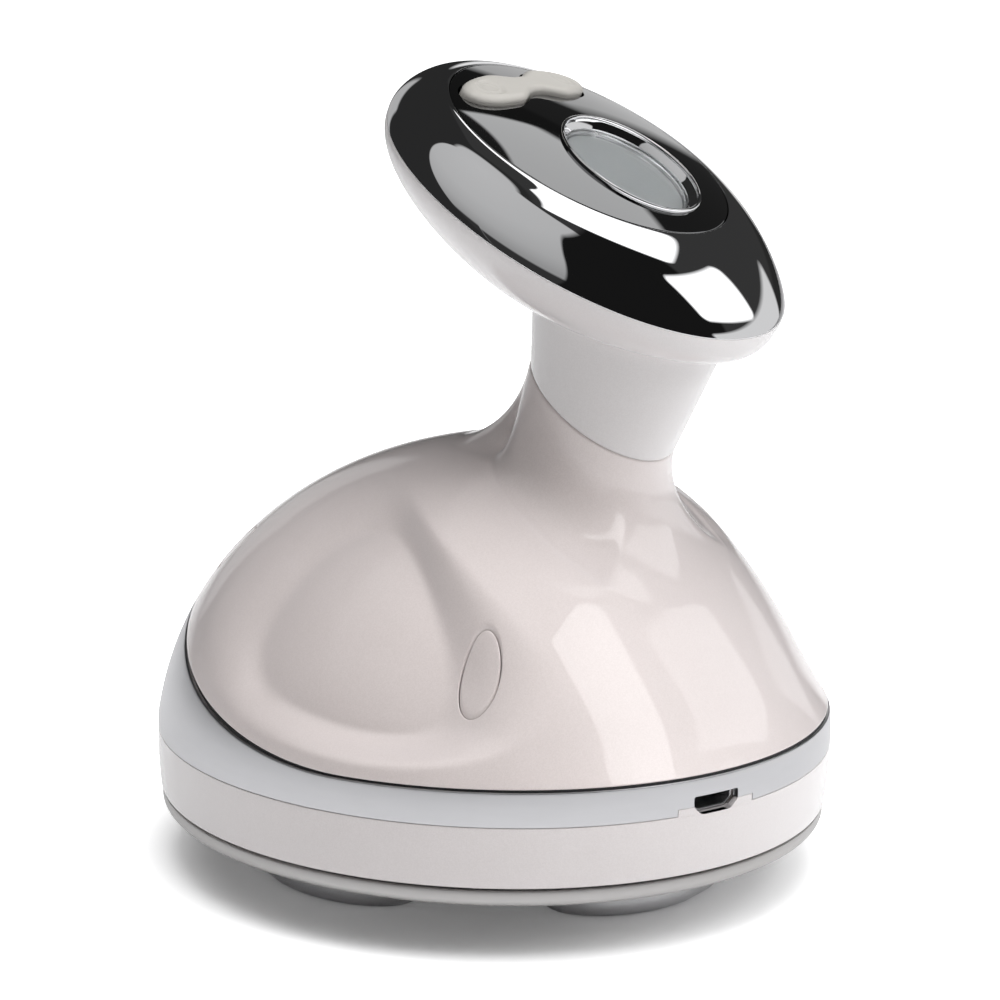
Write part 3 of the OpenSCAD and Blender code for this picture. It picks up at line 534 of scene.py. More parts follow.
def solid(name: str, sheets: list[Sheet], crease: float = 32.0) -> bpy.types.Object:
    """An object from one or more closed sheets, with its seams merged and its faces outwards.

    Args:
        name: the piece's name.
        sheets: its sheets.
        crease: angle in degrees over which an edge is kept sharp.

    Returns:
        The new object, at the origin.
    """
    points = np.concatenate([sheet.rings.reshape(-1, 3) for sheet in sheets]) * MILLIMETRE
    starts = np.cumsum([0] + [sheet.rings.shape[0] * sheet.rings.shape[1] for sheet in sheets])
    faces = np.concatenate([sheet.faces() + start for sheet, start in zip(sheets, starts)])
    mesh = bpy.data.meshes.new(name)
    mesh.from_pydata(points, [], faces)
    work = bmesh.new()
    work.from_mesh(mesh)
    bmesh.ops.remove_doubles(work, verts=work.verts, dist=2e-6)
    bmesh.ops.recalc_face_normals(work, faces=work.faces)
    work.to_mesh(mesh)
    work.free()
    thing = bpy.data.objects.new(name, mesh)
    bpy.context.scene.collection.objects.link(thing)
    finish_edges(thing, crease)
    return thing


def finish_edges(thing: bpy.types.Object, crease: float) -> None:
    """Smooth shading, with edges over an angle kept sharp."""
    thing.data.shade_smooth()
    thing.data.set_sharp_from_angle(angle=float(np.radians(crease)))


def carved(thing: bpy.types.Object, cutters: list[bpy.types.Object],
           crease: float = 32.0) -> bpy.types.Object:
    """A piece with the cutters taken out of it.

    Args:
        thing: the piece.
        cutters: closed objects, which are removed afterwards.
        crease: angle in degrees over which an edge is kept sharp.

    Returns:
        The piece.
    """
    for cutter in cutters:
        cut = thing.modifiers.new("cut", "BOOLEAN")
        cut.operation = "DIFFERENCE"
        cut.solver = "EXACT"
        cut.object = cutter
    bpy.context.view_layer.update()
    graph = bpy.context.evaluated_depsgraph_get()
    mesh = bpy.data.meshes.new_from_object(thing.evaluated_get(graph))
    thing.modifiers.clear()
    old = thing.data
    thing.data = mesh
    bpy.data.meshes.remove(old)
    mesh.name = thing.name
    for cutter in cutters:
        bpy.data.objects.remove(cutter)
    finish_edges(thing, crease)
    return thing


def true_normals(thing: bpy.types.Object, middle: np.ndarray, radius: float) -> None:
    """Exact normals on the faces of a piece that lie on a sphere.

    Args:
        thing: the piece.
        middle: the sphere's middle, in millimetres.
        radius: its radius, in millimetres.
    """
    mesh = thing.data
    count = len(mesh.loops)
    corners = np.empty(count * 3)
    mesh.corner_normals.foreach_get("vector", corners)
    corners = corners.reshape(-1, 3)
    owners = np.empty(count, int)
    mesh.loops.foreach_get("vertex_index", owners)
    points = np.empty(len(mesh.vertices) * 3)
    mesh.vertices.foreach_get("co", points)
    out = points.reshape(-1, 3)[owners] - middle * MILLIMETRE
    far = np.linalg.norm(out, axis=1)
    out = out / far[:, None]
    on_sphere = (np.abs(far - radius * MILLIMETRE) < 4e-6) & ((out * corners).sum(axis=1) > 0.97)
    corners[on_sphere] = out[on_sphere]
    mesh.normals_split_custom_set(corners.tolist())


class Surface(Enum):
    """The fine surface of a finish."""

    FLAKE = "flake"
    GRAIN = "grain"
    BRUSHED = "brushed"
    TURNED = "turned"
    POLISHED = "polished"
    SPECKLE = "speckle"


class Toolbox:
    """Shader node groups that several finishes share, each built once."""

    def __init__(self) -> None:
        """Starts with no groups built."""
        self.built: dict[str, bpy.types.NodeTree] = {}

    def start(self, name: str, inputs: dict[str, float], outputs: list[str]) -> bpy.types.NodeTree:
        """A new group with a vector input, named number inputs and number outputs.

        Args:
            name: the group's name.
            inputs: number inputs and their usual values.
            outputs: number outputs.

        Returns:
            The group's node tree.
        """
        tree = bpy.data.node_groups.new(name, "ShaderNodeTree")
        tree.interface.new_socket(name="Vector", in_out="INPUT", socket_type="NodeSocketVector")
        for label, value in inputs.items():
            socket = tree.interface.new_socket(name=label, in_out="INPUT", socket_type="NodeSocketFloat")
            socket.default_value = value
        for label in outputs:
            tree.interface.new_socket(name=label, in_out="OUTPUT", socket_type="NodeSocketFloat")
        tree.nodes.new("NodeGroupInput").name = "in"
        tree.nodes.new("NodeGroupOutput").name = "out"
        self.built[name] = tree
        return tree

    def group(self, surface: Surface) -> bpy.types.NodeTree:
        """The group of a fine surface, with the outputs Tone and Height."""
        if surface.value not in self.built:
            tree = self.start(surface.value, {"Scale": 1000.0}, ["Tone", "Height"])
            {
                Surface.FLAKE: self.flake,
                Surface.GRAIN: self.grain,
                Surface.BRUSHED: self.brushed,
                Surface.TURNED: self.turned,
                Surface.POLISHED: self.polished,
                Surface.SPECKLE: self.speckle,
            }[surface](tree)
        return self.built[surface.value]

    def noise(self, tree: bpy.types.NodeTree, detail: float,
              stretch: tuple[float, float, float]) -> bpy.types.Node:
        """A noise texture at the group's scale, stretched along the axes.

        Args:
            tree: the group that the texture goes in.
            detail: how many finer layers are added.
            stretch: how tight the noise is along X, Y and Z.

        Returns:
            The texture's node.
        """
        given = tree.nodes["in"]
        mapping = tree.nodes.new("ShaderNodeMapping")
        mapping.inputs["Scale"].default_value = stretch
        texture = tree.nodes.new("ShaderNodeTexNoise")
        texture.inputs["Detail"].default_value = detail
        tree.links.new(given.outputs["Vector"], mapping.inputs["Vector"])
        tree.links.new(mapping.outputs["Vector"], texture.inputs["Vector"])
        tree.links.new(given.outputs["Scale"], texture.inputs["Scale"])
        return texture

    def put_out(self, tree: bpy.types.NodeTree, tone: bpy.types.NodeSocket,
                height: bpy.types.NodeSocket) -> None:
        """Links the two outputs of a group."""
        tree.links.new(tone, tree.nodes["out"].inputs["Tone"])
        tree.links.new(height, tree.nodes["out"].inputs["Height"])

    def cells(self, tree: bpy.types.NodeTree) -> bpy.types.Node:
        """Small cells at the group's scale, each with its own random value.

        Args:
            tree: the group that the cells go in.

        Returns:
            A node whose colour channels are random values of each cell.
        """
        given = tree.nodes["in"]
        texture = tree.nodes.new("ShaderNodeTexVoronoi")
        tree.links.new(given.outputs["Vector"], texture.inputs["Vector"])
        tree.links.new(given.outputs["Scale"], texture.inputs["Scale"])
        split = tree.nodes.new("ShaderNodeSeparateColor")
        tree.links.new(texture.outputs["Color"], split.inputs["Color"])
        return split

    def flake(self, tree: bpy.types.NodeTree) -> None:
        """Pearl flakes: cells that each have their own brightness and tilt.

        Args:
            tree: the group that is filled.
        """
        split = self.cells(tree)
        cloud = self.noise(tree, 2.0, (0.02, 0.02, 0.02))
        mix = tree.nodes.new("ShaderNodeMix")
        mix.inputs["Factor"].default_value = 0.35
        tree.links.new(split.outputs["Red"], mix.inputs["A"])
        tree.links.new(cloud.outputs["Fac"], mix.inputs["B"])
        self.put_out(tree, mix.outputs["Result"], split.outputs["Green"])

    def grain(self, tree: bpy.types.NodeTree) -> None:
        """Fine moulded grain, with a slow change of tone."""
        fine = self.noise(tree, 3.0, (1.0, 1.0, 1.0))
        slow = self.noise(tree, 2.0, (0.03, 0.03, 0.03))
        self.put_out(tree, slow.outputs["Fac"], fine.outputs["Fac"])

    def brushed(self, tree: bpy.types.NodeTree) -> None:
        """Fine lines that run level round the piece."""
        lines = self.noise(tree, 4.0, (0.02, 0.02, 1.0))
        slow = self.noise(tree, 2.0, (0.01, 0.01, 0.05))
        self.put_out(tree, slow.outputs["Fac"], lines.outputs["Fac"])

    def turned(self, tree: bpy.types.NodeTree) -> None:
        """Fine rings left by turning: noise over the distance from the axis.

        Args:
            tree: the group that is filled.
        """
        given = tree.nodes["in"]
        split = tree.nodes.new("ShaderNodeSeparateXYZ")
        tree.links.new(given.outputs["Vector"], split.inputs["Vector"])
        flat = tree.nodes.new("ShaderNodeCombineXYZ")
        tree.links.new(split.outputs["X"], flat.inputs["X"])
        tree.links.new(split.outputs["Y"], flat.inputs["Y"])
        length = tree.nodes.new("ShaderNodeVectorMath")
        length.operation = "LENGTH"
        tree.links.new(flat.outputs["Vector"], length.inputs[0])
        ring = tree.nodes.new("ShaderNodeTexNoise")
        ring.noise_dimensions = "1D"
        ring.inputs["Detail"].default_value = 4.0
        tree.links.new(length.outputs["Value"], ring.inputs["W"])
        tree.links.new(given.outputs["Scale"], ring.inputs["Scale"])
        slow = self.noise(tree, 2.0, (0.02, 0.02, 0.02))
        self.put_out(tree, slow.outputs["Fac"], ring.outputs["Fac"])

    def polished(self, tree: bpy.types.NodeTree) -> None:
        """A polished face: only a very slow unevenness and a light film from handling."""
        slow = self.noise(tree, 1.0, (0.02, 0.02, 0.02))
        film = self.noise(tree, 3.0, (0.08, 0.08, 0.08))
        self.put_out(tree, film.outputs["Fac"], slow.outputs["Fac"])

    def speckle(self, tree: bpy.types.NodeTree) -> None:
        """A fine weave of dots, as in a circuit board or a wound coil."""
        split = self.cells(tree)
        fine = self.noise(tree, 2.0, (0.6, 0.6, 0.6))
        self.put_out(tree, split.outputs["Red"], fine.outputs["Fac"])


TOOLS = Toolbox()


@dataclass(frozen=True)
class Finish:
    """A material, with a fine surface that changes its colour, roughness and height.

    Args:
        slot: name of the record's material slot.
        colour: the usual colour, linear.
        other: the colour that the tone of the surface leads to.
        surface: the fine surface.
        roughness: the lowest and highest roughness.
        metal: metallic share.
        scale: scale of the fine surface, in cells per metre.
        bump: strength of its height.
        depth: depth of its height in metres.
        coat: strength of the clear coat.
        coat_roughness: roughness of the clear coat.
        specular: reflection level of a non-metal.
        glass: transmission share.
        rim: painted sheen, a lighter colour mixed in towards the grazing edges, or None.
    """

    slot: str
    colour: tuple[float, float, float]
    other: tuple[float, float, float]
    surface: Surface
    roughness: tuple[float, float]
    metal: float = 0.0
    scale: float = 1500.0
    bump: float = 0.1
    depth: float = 2e-5
    coat: float = 0.0
    coat_roughness: float = 0.05
    specular: float = 0.5
    glass: float = 0.0
    rim: tuple[float, float, float] | None = None

    def material(self) -> bpy.types.Material:
        """The material of this finish, built once.

        Returns:
            The material, with its texture group and its values set.
        """
        made = bpy.data.materials.get(self.slot + "_finish")
        if made is not None:
            return made
        made = bpy.data.materials.new(self.slot + "_finish")
        made.use_nodes = True
        tree = made.node_tree
        shader = tree.nodes["Principled BSDF"]
        place = tree.nodes.new("ShaderNodeTexCoord")
        texture = tree.nodes.new("ShaderNodeGroup")
        texture.node_tree = TOOLS.group(self.surface)
        texture.inputs["Scale"].default_value = self.scale
        tree.links.new(place.outputs["Object"], texture.inputs["Vector"])
        self.paint(tree, shader, texture)
        rough = tree.nodes.new("ShaderNodeMapRange")
        rough.inputs["To Min"].default_value = self.roughness[0]
        rough.inputs["To Max"].default_value = self.roughness[1]
        tree.links.new(texture.outputs["Tone"], rough.inputs["Value"])
        tree.links.new(rough.outputs["Result"], shader.inputs["Roughness"])
        bump = tree.nodes.new("ShaderNodeBump")
        bump.inputs["Strength"].default_value = self.bump
        bump.inputs["Distance"].default_value = self.depth
        tree.links.new(texture.outputs["Height"], bump.inputs["Height"])
        tree.links.new(bump.outputs["Normal"], shader.inputs["Normal"])
        shader.inputs["Metallic"].default_value = self.metal
        shader.inputs["Coat Weight"].default_value = self.coat
        shader.inputs["Coat Roughness"].default_value = self.coat_roughness
        shader.inputs["Specular IOR Level"].default_value = self.specular
        shader.inputs["Transmission Weight"].default_value = self.glass
        return made

    def paint(self, tree: bpy.types.NodeTree, shader: bpy.types.Node, texture: bpy.types.Node) -> None:
        """Links the colour: the two colours mixed by the tone, and the rim colour, a painted sheen, at the
        grazing edges.

        Args:
            tree: the material's node tree.
            shader: the node that takes the colour.
            texture: the group that gives the tone.
        """
        mix = tree.nodes.new("ShaderNodeMix")
        mix.data_type = "RGBA"
        mix.inputs[6].default_value = (*self.colour, 1.0)
        mix.inputs[7].default_value = (*self.other, 1.0)
        tree.links.new(texture.outputs["Tone"], mix.inputs[0])
        result = mix.outputs[2]
        # Painted sheen: the colour turns lighter towards the edges that face away from the camera.
        if self.rim is not None:
            facing = tree.nodes.new("ShaderNodeLayerWeight")
            facing.inputs["Blend"].default_value = 0.35
            edge = tree.nodes.new("ShaderNodeMix")
            edge.data_type = "RGBA"
            edge.inputs[7].default_value = (*self.rim, 1.0)
            tree.links.new(facing.outputs["Facing"], edge.inputs[0])
            tree.links.new(result, edge.inputs[6])
            result = edge.outputs[2]
        tree.links.new(result, shader.inputs["Base Color"])


# The pearl finishes' rim colours are painted sheen, lighter than their own colours at the grazing edges.
FINISHES: dict[str, Finish] = {
    f.slot: f
    for f in (
        Finish(
            "pearl_shell", (0.575, 0.515, 0.50), (0.645, 0.585, 0.572), Surface.FLAKE, (0.40, 0.48),
            metal=0.10, scale=6500.0, bump=0.05, depth=2e-5, coat=1.0, coat_roughness=0.05,
            rim=(0.70, 0.65, 0.65),
        ),
        Finish(
            "pearl_head", (0.555, 0.53, 0.528), (0.612, 0.59, 0.588), Surface.FLAKE, (0.38, 0.46),
            metal=0.05, scale=6500.0, bump=0.04, depth=2e-5, coat=1.0, coat_roughness=0.05,
            rim=(0.70, 0.685, 0.69),
        ),
        Finish(
            "pearl_base", (0.575, 0.535, 0.53), (0.64, 0.60, 0.598), Surface.FLAKE, (0.40, 0.48),
            metal=0.08, scale=6500.0, bump=0.05, depth=2e-5, coat=1.0, coat_roughness=0.07,
            rim=(0.70, 0.68, 0.685),
        ),
        Finish(
            "satin_chrome", (0.50, 0.50, 0.515), (0.56, 0.56, 0.575), Surface.BRUSHED, (0.26, 0.34),
            metal=1.0, scale=9000.0, bump=0.05, depth=6e-6,
        ),
        Finish(
            "mirror_chrome", (0.90, 0.905, 0.92), (0.93, 0.93, 0.94), Surface.POLISHED, (0.012, 0.03),
            metal=1.0, scale=600.0, bump=0.02, depth=1e-5,
        ),
        Finish(
            "silver_plate", (0.40, 0.39, 0.385), (0.47, 0.46, 0.455), Surface.TURNED, (0.34, 0.44),
            metal=0.75, scale=2500.0, bump=0.06, depth=8e-6, coat=0.15, coat_roughness=0.3,
        ),
        Finish(
            "electrode_metal", (0.70, 0.70, 0.715), (0.78, 0.78, 0.79), Surface.GRAIN, (0.20, 0.30),
            metal=1.0, scale=5000.0, bump=0.05, depth=8e-6,
        ),
        Finish(
            "dark_seal", (0.02, 0.02, 0.022), (0.035, 0.035, 0.036), Surface.GRAIN, (0.55, 0.7),
            scale=6000.0, bump=0.2, specular=0.3,
        ),
        Finish(
            "panel_mirror", (0.235, 0.237, 0.24), (0.255, 0.257, 0.26), Surface.POLISHED, (0.015, 0.035),
            metal=1.0, scale=500.0, bump=0.02, depth=1e-5,
        ),
        Finish(
            "lens_glass", (0.96, 0.98, 0.98), (0.98, 0.99, 0.99), Surface.POLISHED, (0.0, 0.015),
            scale=500.0, bump=0.01, depth=1e-5, glass=1.0,
        ),
        Finish(
            "screen_grey", (0.50, 0.51, 0.515), (0.56, 0.57, 0.575), Surface.GRAIN, (0.25, 0.35),
            scale=4000.0, bump=0.08,
        ),
        Finish(
            "well_silver", (0.66, 0.66, 0.67), (0.72, 0.72, 0.73), Surface.TURNED, (0.24, 0.32),
            metal=0.9, scale=5000.0, bump=0.03, depth=6e-6,
        ),
        Finish(
            "key_grey", (0.385, 0.372, 0.345), (0.425, 0.41, 0.385), Surface.GRAIN, (0.38, 0.48),
            scale=7000.0, bump=0.12, depth=1.5e-5,
        ),
        Finish(
            "board_green", (0.015, 0.10, 0.045), (0.03, 0.16, 0.07), Surface.SPECKLE, (0.3, 0.5),
            scale=1800.0, bump=0.2,
        ),
        Finish(
            "black_plastic", (0.012, 0.012, 0.013), (0.022, 0.022, 0.023), Surface.GRAIN, (0.35, 0.5),
            scale=5000.0, bump=0.15,
        ),
        Finish(
            "inner_white", (0.60, 0.60, 0.57), (0.68, 0.68, 0.65), Surface.GRAIN, (0.4, 0.55),
            scale=4000.0, bump=0.15,
        ),
        Finish(
            "dark_frame", (0.045, 0.045, 0.048), (0.07, 0.07, 0.073), Surface.GRAIN, (0.4, 0.55),
            scale=4000.0, bump=0.15,
        ),
        Finish(
            "screw_steel", (0.50, 0.50, 0.51), (0.60, 0.60, 0.61), Surface.TURNED, (0.25, 0.4),
            metal=1.0, scale=4000.0, bump=0.1, depth=1e-5,
        ),
        Finish(
            "gold_pin", (0.80, 0.58, 0.25), (0.88, 0.68, 0.34), Surface.GRAIN, (0.2, 0.32),
            metal=1.0, scale=5000.0, bump=0.05, depth=1e-5,
        ),
        Finish(
            "nut_brass", (0.62, 0.54, 0.36), (0.72, 0.64, 0.44), Surface.TURNED, (0.25, 0.4),
            metal=1.0, scale=4000.0, bump=0.08, depth=1e-5,
        ),
        Finish(
            "coil_copper", (0.55, 0.22, 0.08), (0.70, 0.32, 0.14), Surface.BRUSHED, (0.25, 0.4),
            metal=1.0, scale=3000.0, bump=0.3,
        ),
        Finish(
            "cell_wrap", (0.07, 0.14, 0.30), (0.10, 0.19, 0.38), Surface.POLISHED, (0.3, 0.45),
            scale=900.0, bump=0.15,
        ),
        Finish(
            "lead_red", (0.42, 0.012, 0.01), (0.52, 0.025, 0.02), Surface.GRAIN, (0.4, 0.5),
            scale=5000.0, bump=0.1,
        ),
        Finish(
            "motor_steel", (0.46, 0.47, 0.49), (0.56, 0.57, 0.59), Surface.BRUSHED, (0.25, 0.38),
            metal=1.0, scale=3000.0, bump=0.08, depth=1e-5,
        ),
        Finish(
            "weight_metal", (0.26, 0.26, 0.27), (0.34, 0.34, 0.35), Surface.GRAIN, (0.35, 0.5),
            metal=1.0, scale=3000.0, bump=0.12,
        ),
    )
}


def dress(piece: bpy.types.Object, slot: str, body: str, *nodes: str) -> bpy.types.Object:
    """Gives a new piece its finish and its body, and hides the solids that it stands for.

    Args:
        piece: the piece.
        slot: its material slot.
        body: the body that it rides on.
        nodes: the solids that it replaces.

    Returns:
        The piece.
    """
    piece.data.materials.clear()
    piece.data.materials.append(FINISHES[slot].material())
    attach(piece, body)
    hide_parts(*nodes)
    piece.data.calc_loop_triangles()
    LOG.info("%-18s %7d triangles, %s", piece.name, len(piece.data.loop_triangles), slot)
    return piece


@dataclass
class PlugHole:
    """A round screw tube that comes out of the dome, with its plug.

    Args:
        distance: distance from the axis.
        angle: angle from the front.
        radius: radius of the plug.
        gap: gap round the plug.
        plug_z: height of the plug's foot.
        seat_z: height of the screw's seat.
        tube_r: outer radius of the tube.
    """

    distance: float
    angle: float
    radius: float = 2.75
    gap: float = 0.12
    plug_z: float = 29.2
    seat_z: float = 27.0
    tube_r: float = 4.2

    def place(self) -> tuple[float, float]:
        """The plan place of the tube's axis."""
        return self.distance * float(sind(self.angle)), -self.distance * float(cosd(self.angle))

    def ring(self, radius: np.ndarray, inset: np.ndarray, count: int) -> np.ndarray:
        """Rings round the tube's axis that lie on the dome's inset faces.

        Args:
            radius: distance from the tube's axis, one for each ring.
            inset: depth under the dome's face, one for each ring.
            count: points round a ring.

        Returns:
            The rings' points.
        """
        x, y = self.place()
        phi = turns(count)[None, :]
        radius = np.asarray(radius, float)[:, None]
        inset = np.asarray(inset, float)[:, None]
        return FORM.skin_over(x + radius * cosd(phi), y + radius * sind(phi), inset)

    def plug(self) -> Sheet:
        """The plug: a face that follows the dome, a rounded edge and a straight stem.

        Returns:
            The closed sheet of the plug.
        """
        a = np.linspace(0.0, 90.0, 7)
        edge = 0.3
        face = np.linspace(0.0, self.radius - edge, 12)[:-1]
        radii = np.concatenate([face, self.radius - edge + edge * sind(a)])
        insets = np.concatenate([np.full(11, 0.03), 0.03 + edge * (1.0 - cosd(a))])
        rings = self.ring(radii, insets, 96)
        foot = rings[-1:].copy()
        foot[..., 2] = self.plug_z
        x, y = self.place()
        end = np.broadcast_to(np.array([x, y, self.plug_z]), foot.shape)
        return Sheet(np.concatenate([rings, foot, end]))

    def cutter(self) -> Sheet:
        """What is cut from the dome for the tube, widened where it meets the face.

        Returns:
            The closed sheet that is cut away.
        """
        w = np.linspace(0.0, 90.0, 6)
        flare = 0.22
        radii = self.radius + self.gap + flare * (1.0 - cosd(w))
        insets = flare - flare * sind(w)
        rings = self.ring(radii, insets, 96)
        out = self.ring(radii[-1:] + 0.06, np.array([-0.5]), 96)
        top = out.copy()
        top[..., 2] = 90.0
        foot = self.ring(radii[:1], insets[:1], 96)
        foot[..., 2] = self.seat_z
        x, y = self.place()
        low = np.broadcast_to(np.array([x, y, self.seat_z]), foot.shape)
        high = np.broadcast_to(np.array([x, y, 90.0]), foot.shape)
        return Sheet(np.concatenate([low, foot, rings, out, top, high]))

    def tube(self) -> Sheet:
        """The tube inside the dome, ending within the dome's wall.

        Returns:
            The looped sheet of the tube's wall.
        """
        bore = self.radius + self.gap
        upper = self.ring(np.array([self.tube_r, bore]), np.array([1.0, 1.0]), 96)
        seat = [(bore, self.seat_z), (1.7, self.seat_z), (1.7, 23.5), (self.tube_r, 23.5)]
        x, y = self.place()
        lower = moved(Sheet(self.flat(seat)), x, y).rings
        return Sheet(np.concatenate([upper, lower]), looped=True)

    def flat(self, profile: list[tuple[float, float]]) -> np.ndarray:
        """Level rings in the same columns as the rings on the dome."""
        line = np.array(profile, float)
        phi = turns(96)[None, :]
        return vector(line[:, :1] * cosd(phi), line[:, :1] * sind(phi), line[:, 1:2])


@dataclass
class UpperShell:
    """The pearl dome that is drawn up into the neck, with its screw plugs."""

    columns: int = 360
    dome_rows: int = 104
    neck_rows: int = 56
    lip: float = 0.22
    front: tuple[PlugHole, PlugHole] = (PlugHole(40.2, -60.0), PlugHole(40.2, 60.0))
    rear: tuple[PlugHole, PlugHole] = (PlugHole(38.5, -146.0), PlugHole(38.5, 146.0))

    def rings(self) -> np.ndarray:
        """All rings: lower lip, dome, neck, top edge, and the inner wall back down.

        Returns:
            The rings in order, so that the last one joins the first.
        """
        u = np.broadcast_to(turns(self.columns), (8, self.columns))
        a = np.linspace(0.0, 90.0, 8)[:, None]
        start = FORM.shell_start(u)
        lip = FORM.scooped(FORM.dome(u, start + self.lip * (1.0 - cosd(a)), self.lip * (1.0 - sind(a))))
        first = self.lip / 26.0
        dome = [(v, 0.0) for v in np.linspace(first, 1.0, self.dome_rows)[1:]]
        neck = [(v, 0.0) for v in np.linspace(1.0, 1.985, self.neck_rows)[1:]]
        edge = [(1.985 + 0.015 * float(sind(b)), 0.28 * (1.0 - float(cosd(b)))) for b in (20, 45, 70, 90)]
        down = np.concatenate([np.linspace(2.0, 1.0, 14), np.linspace(0.95, 0.06, 18)])
        inner = [(v, FORM.wall_t) for v in down]
        skin = rows_of(FORM.skin, dome + neck + edge + inner, self.columns)
        one = turns(self.columns)
        feet = [
            FORM.band_face(one, np.full_like(one, 0.15), 3.2),
            FORM.band_face(one, np.full_like(one, 0.15), 1.25),
            FORM.band_face(one, FORM.shell_start(one), 1.25),
        ]
        return np.concatenate([lip, skin, np.array(feet)])

    def build(self) -> list[bpy.types.Object]:
        """Makes the shell and the plugs.

        Returns:
            The shell and the two pairs of plugs, dressed.
        """
        holes = [*self.front, *self.rear]
        shell = solid("dome_shell", [Sheet(self.rings(), looped=True)], 40.0)
        cutters = [solid("hole_cutter", [hole.cutter()]) for hole in holes]
        cutters.append(PORT.cutter(0.15, FORM.base_r - 8.0, 12.0))
        shell = carved(shell, cutters, 40.0)
        tubes = solid("screw_tubes", [hole.tube() for hole in holes])
        join(shell, [tubes])
        front = solid("front_plugs", [hole.plug() for hole in self.front])
        rear = solid("rear_plugs", [hole.plug() for hole in self.rear])
        return [
            dress(shell, "pearl_shell", "housing", "upper_shell"),
            dress(front, "pearl_shell", "housing", "front_screw_plugs"),
            dress(rear, "pearl_shell", "housing", "rear_screw_plugs"),
        ]


def join(thing: bpy.types.Object, others: list[bpy.types.Object]) -> None:
    """Adds the meshes of other objects to a piece and removes those objects.

    Args:
        thing: the piece that is kept.
        others: the objects that go into it.
    """
    work = bmesh.new()
    work.from_mesh(thing.data)
    for other in others:
        work.from_mesh(other.data)
    work.to_mesh(thing.data)
    work.free()
    for other in others:
        bpy.data.objects.remove(other)


@dataclass
class Port:
    """The charging port's outline, which other pieces are cut with."""

    def outline(self, grow: float) -> np.ndarray:
        """The six-sided outline with small rounded corners, width and height.

        Args:
            grow: how far the outline stands out from the opening.

        Returns:
            The outline's points, across and upwards.
        """
        w = FORM.port_w / 2.0 + grow
        top = FORM.port_h / 2.0 + grow
        corners = np.array([
            [-w, top], [w, top], [w, -0.15 * top], [w * 0.66, -top], [-w * 0.66, -top], [-w, -0.15 * top]])
        before = np.roll(corners, 1, axis=0) - corners
        after = np.roll(corners, -1, axis=0) - corners
        before = before / np.linalg.norm(before, axis=1, keepdims=True)
        after = after / np.linalg.norm(after, axis=1, keepdims=True)
        t = np.linspace(0.0, 1.0, 7)[None, :, None]
        soft = 0.42
        a = (corners + before * soft)[:, None]
        b = (corners + after * soft)[:, None]
        c = corners[:, None]
        return ((1.0 - t) ** 2 * a + 2.0 * t * (1.0 - t) * c + t**2 * b).reshape(-1, 2)

    def at(self, across: np.ndarray, distance: np.ndarray, height: np.ndarray) -> np.ndarray:
        """Points given across the port, by distance from the axis and by height over its middle.

        Args:
            across: way across the port.
            distance: distance from the object's axis.
            height: height over the port's middle.

        Returns:
            The points in the object's frame.
        """
        u = -FORM.port_angle
        x = across * cosd(u) + distance * sind(u)
        y = across * sind(u) - distance * cosd(u)
        return vector(x, y, FORM.line_z + FORM.port_z + height)

    def rings(self, steps: list[tuple[float, float]]) -> np.ndarray:
        """Outlines with a growth at each distance from the axis."""
        return np.array([self.at(o[:, 0], d, o[:, 1]) for o, d in ((self.outline(g), d) for g, d in steps)])

    def cutter(self, grow: float, start: float, length: float) -> bpy.types.Object:
        """A straight bar of the port's outline."""
        return solid("port_cutter", [capped(self.rings([(grow, start), (grow, start + length)]))])

    def build(self) -> list[bpy.types.Object]:
        """The port's metal case: a thin sleeve with a rounded mouth and a back wall.

        Returns:
            The dressed case.
        """
        r = FORM.base_r
        outer = [(-0.12, r - 8.4), (-0.12, r - 1.55), (-0.16, r - 1.42), (-0.27, r - 1.38)]
        inner = [(-0.38, r - 1.42), (-0.42, r - 1.55), (-0.42, r - 7.6)]
        sleeve = solid("port_case", [capped(self.rings(outer + inner))])
        low = -FORM.port_h / 2.0
        tabs = [self.box(x, x + 0.8, r - 8.0, r - 5.0, low, low + 0.25) for x in (-3.0, 2.2)]
        join(sleeve, [solid("port_tabs", tabs)])
        return [dress(sleeve, "screw_steel", "housing", "charging_port")]

    def box(self, x0: float, x1: float, d0: float, d1: float, z0: float, z1: float) -> Sheet:
        """A small block in the port's own directions."""
        ring = np.array([[x0, z0], [x1, z0], [x1, z1], [x0, z1]])
        rings = np.array([self.at(ring[:, 0], d, ring[:, 1]) for d in (d0, d1)])
        return capped(rings)


PORT = Port()


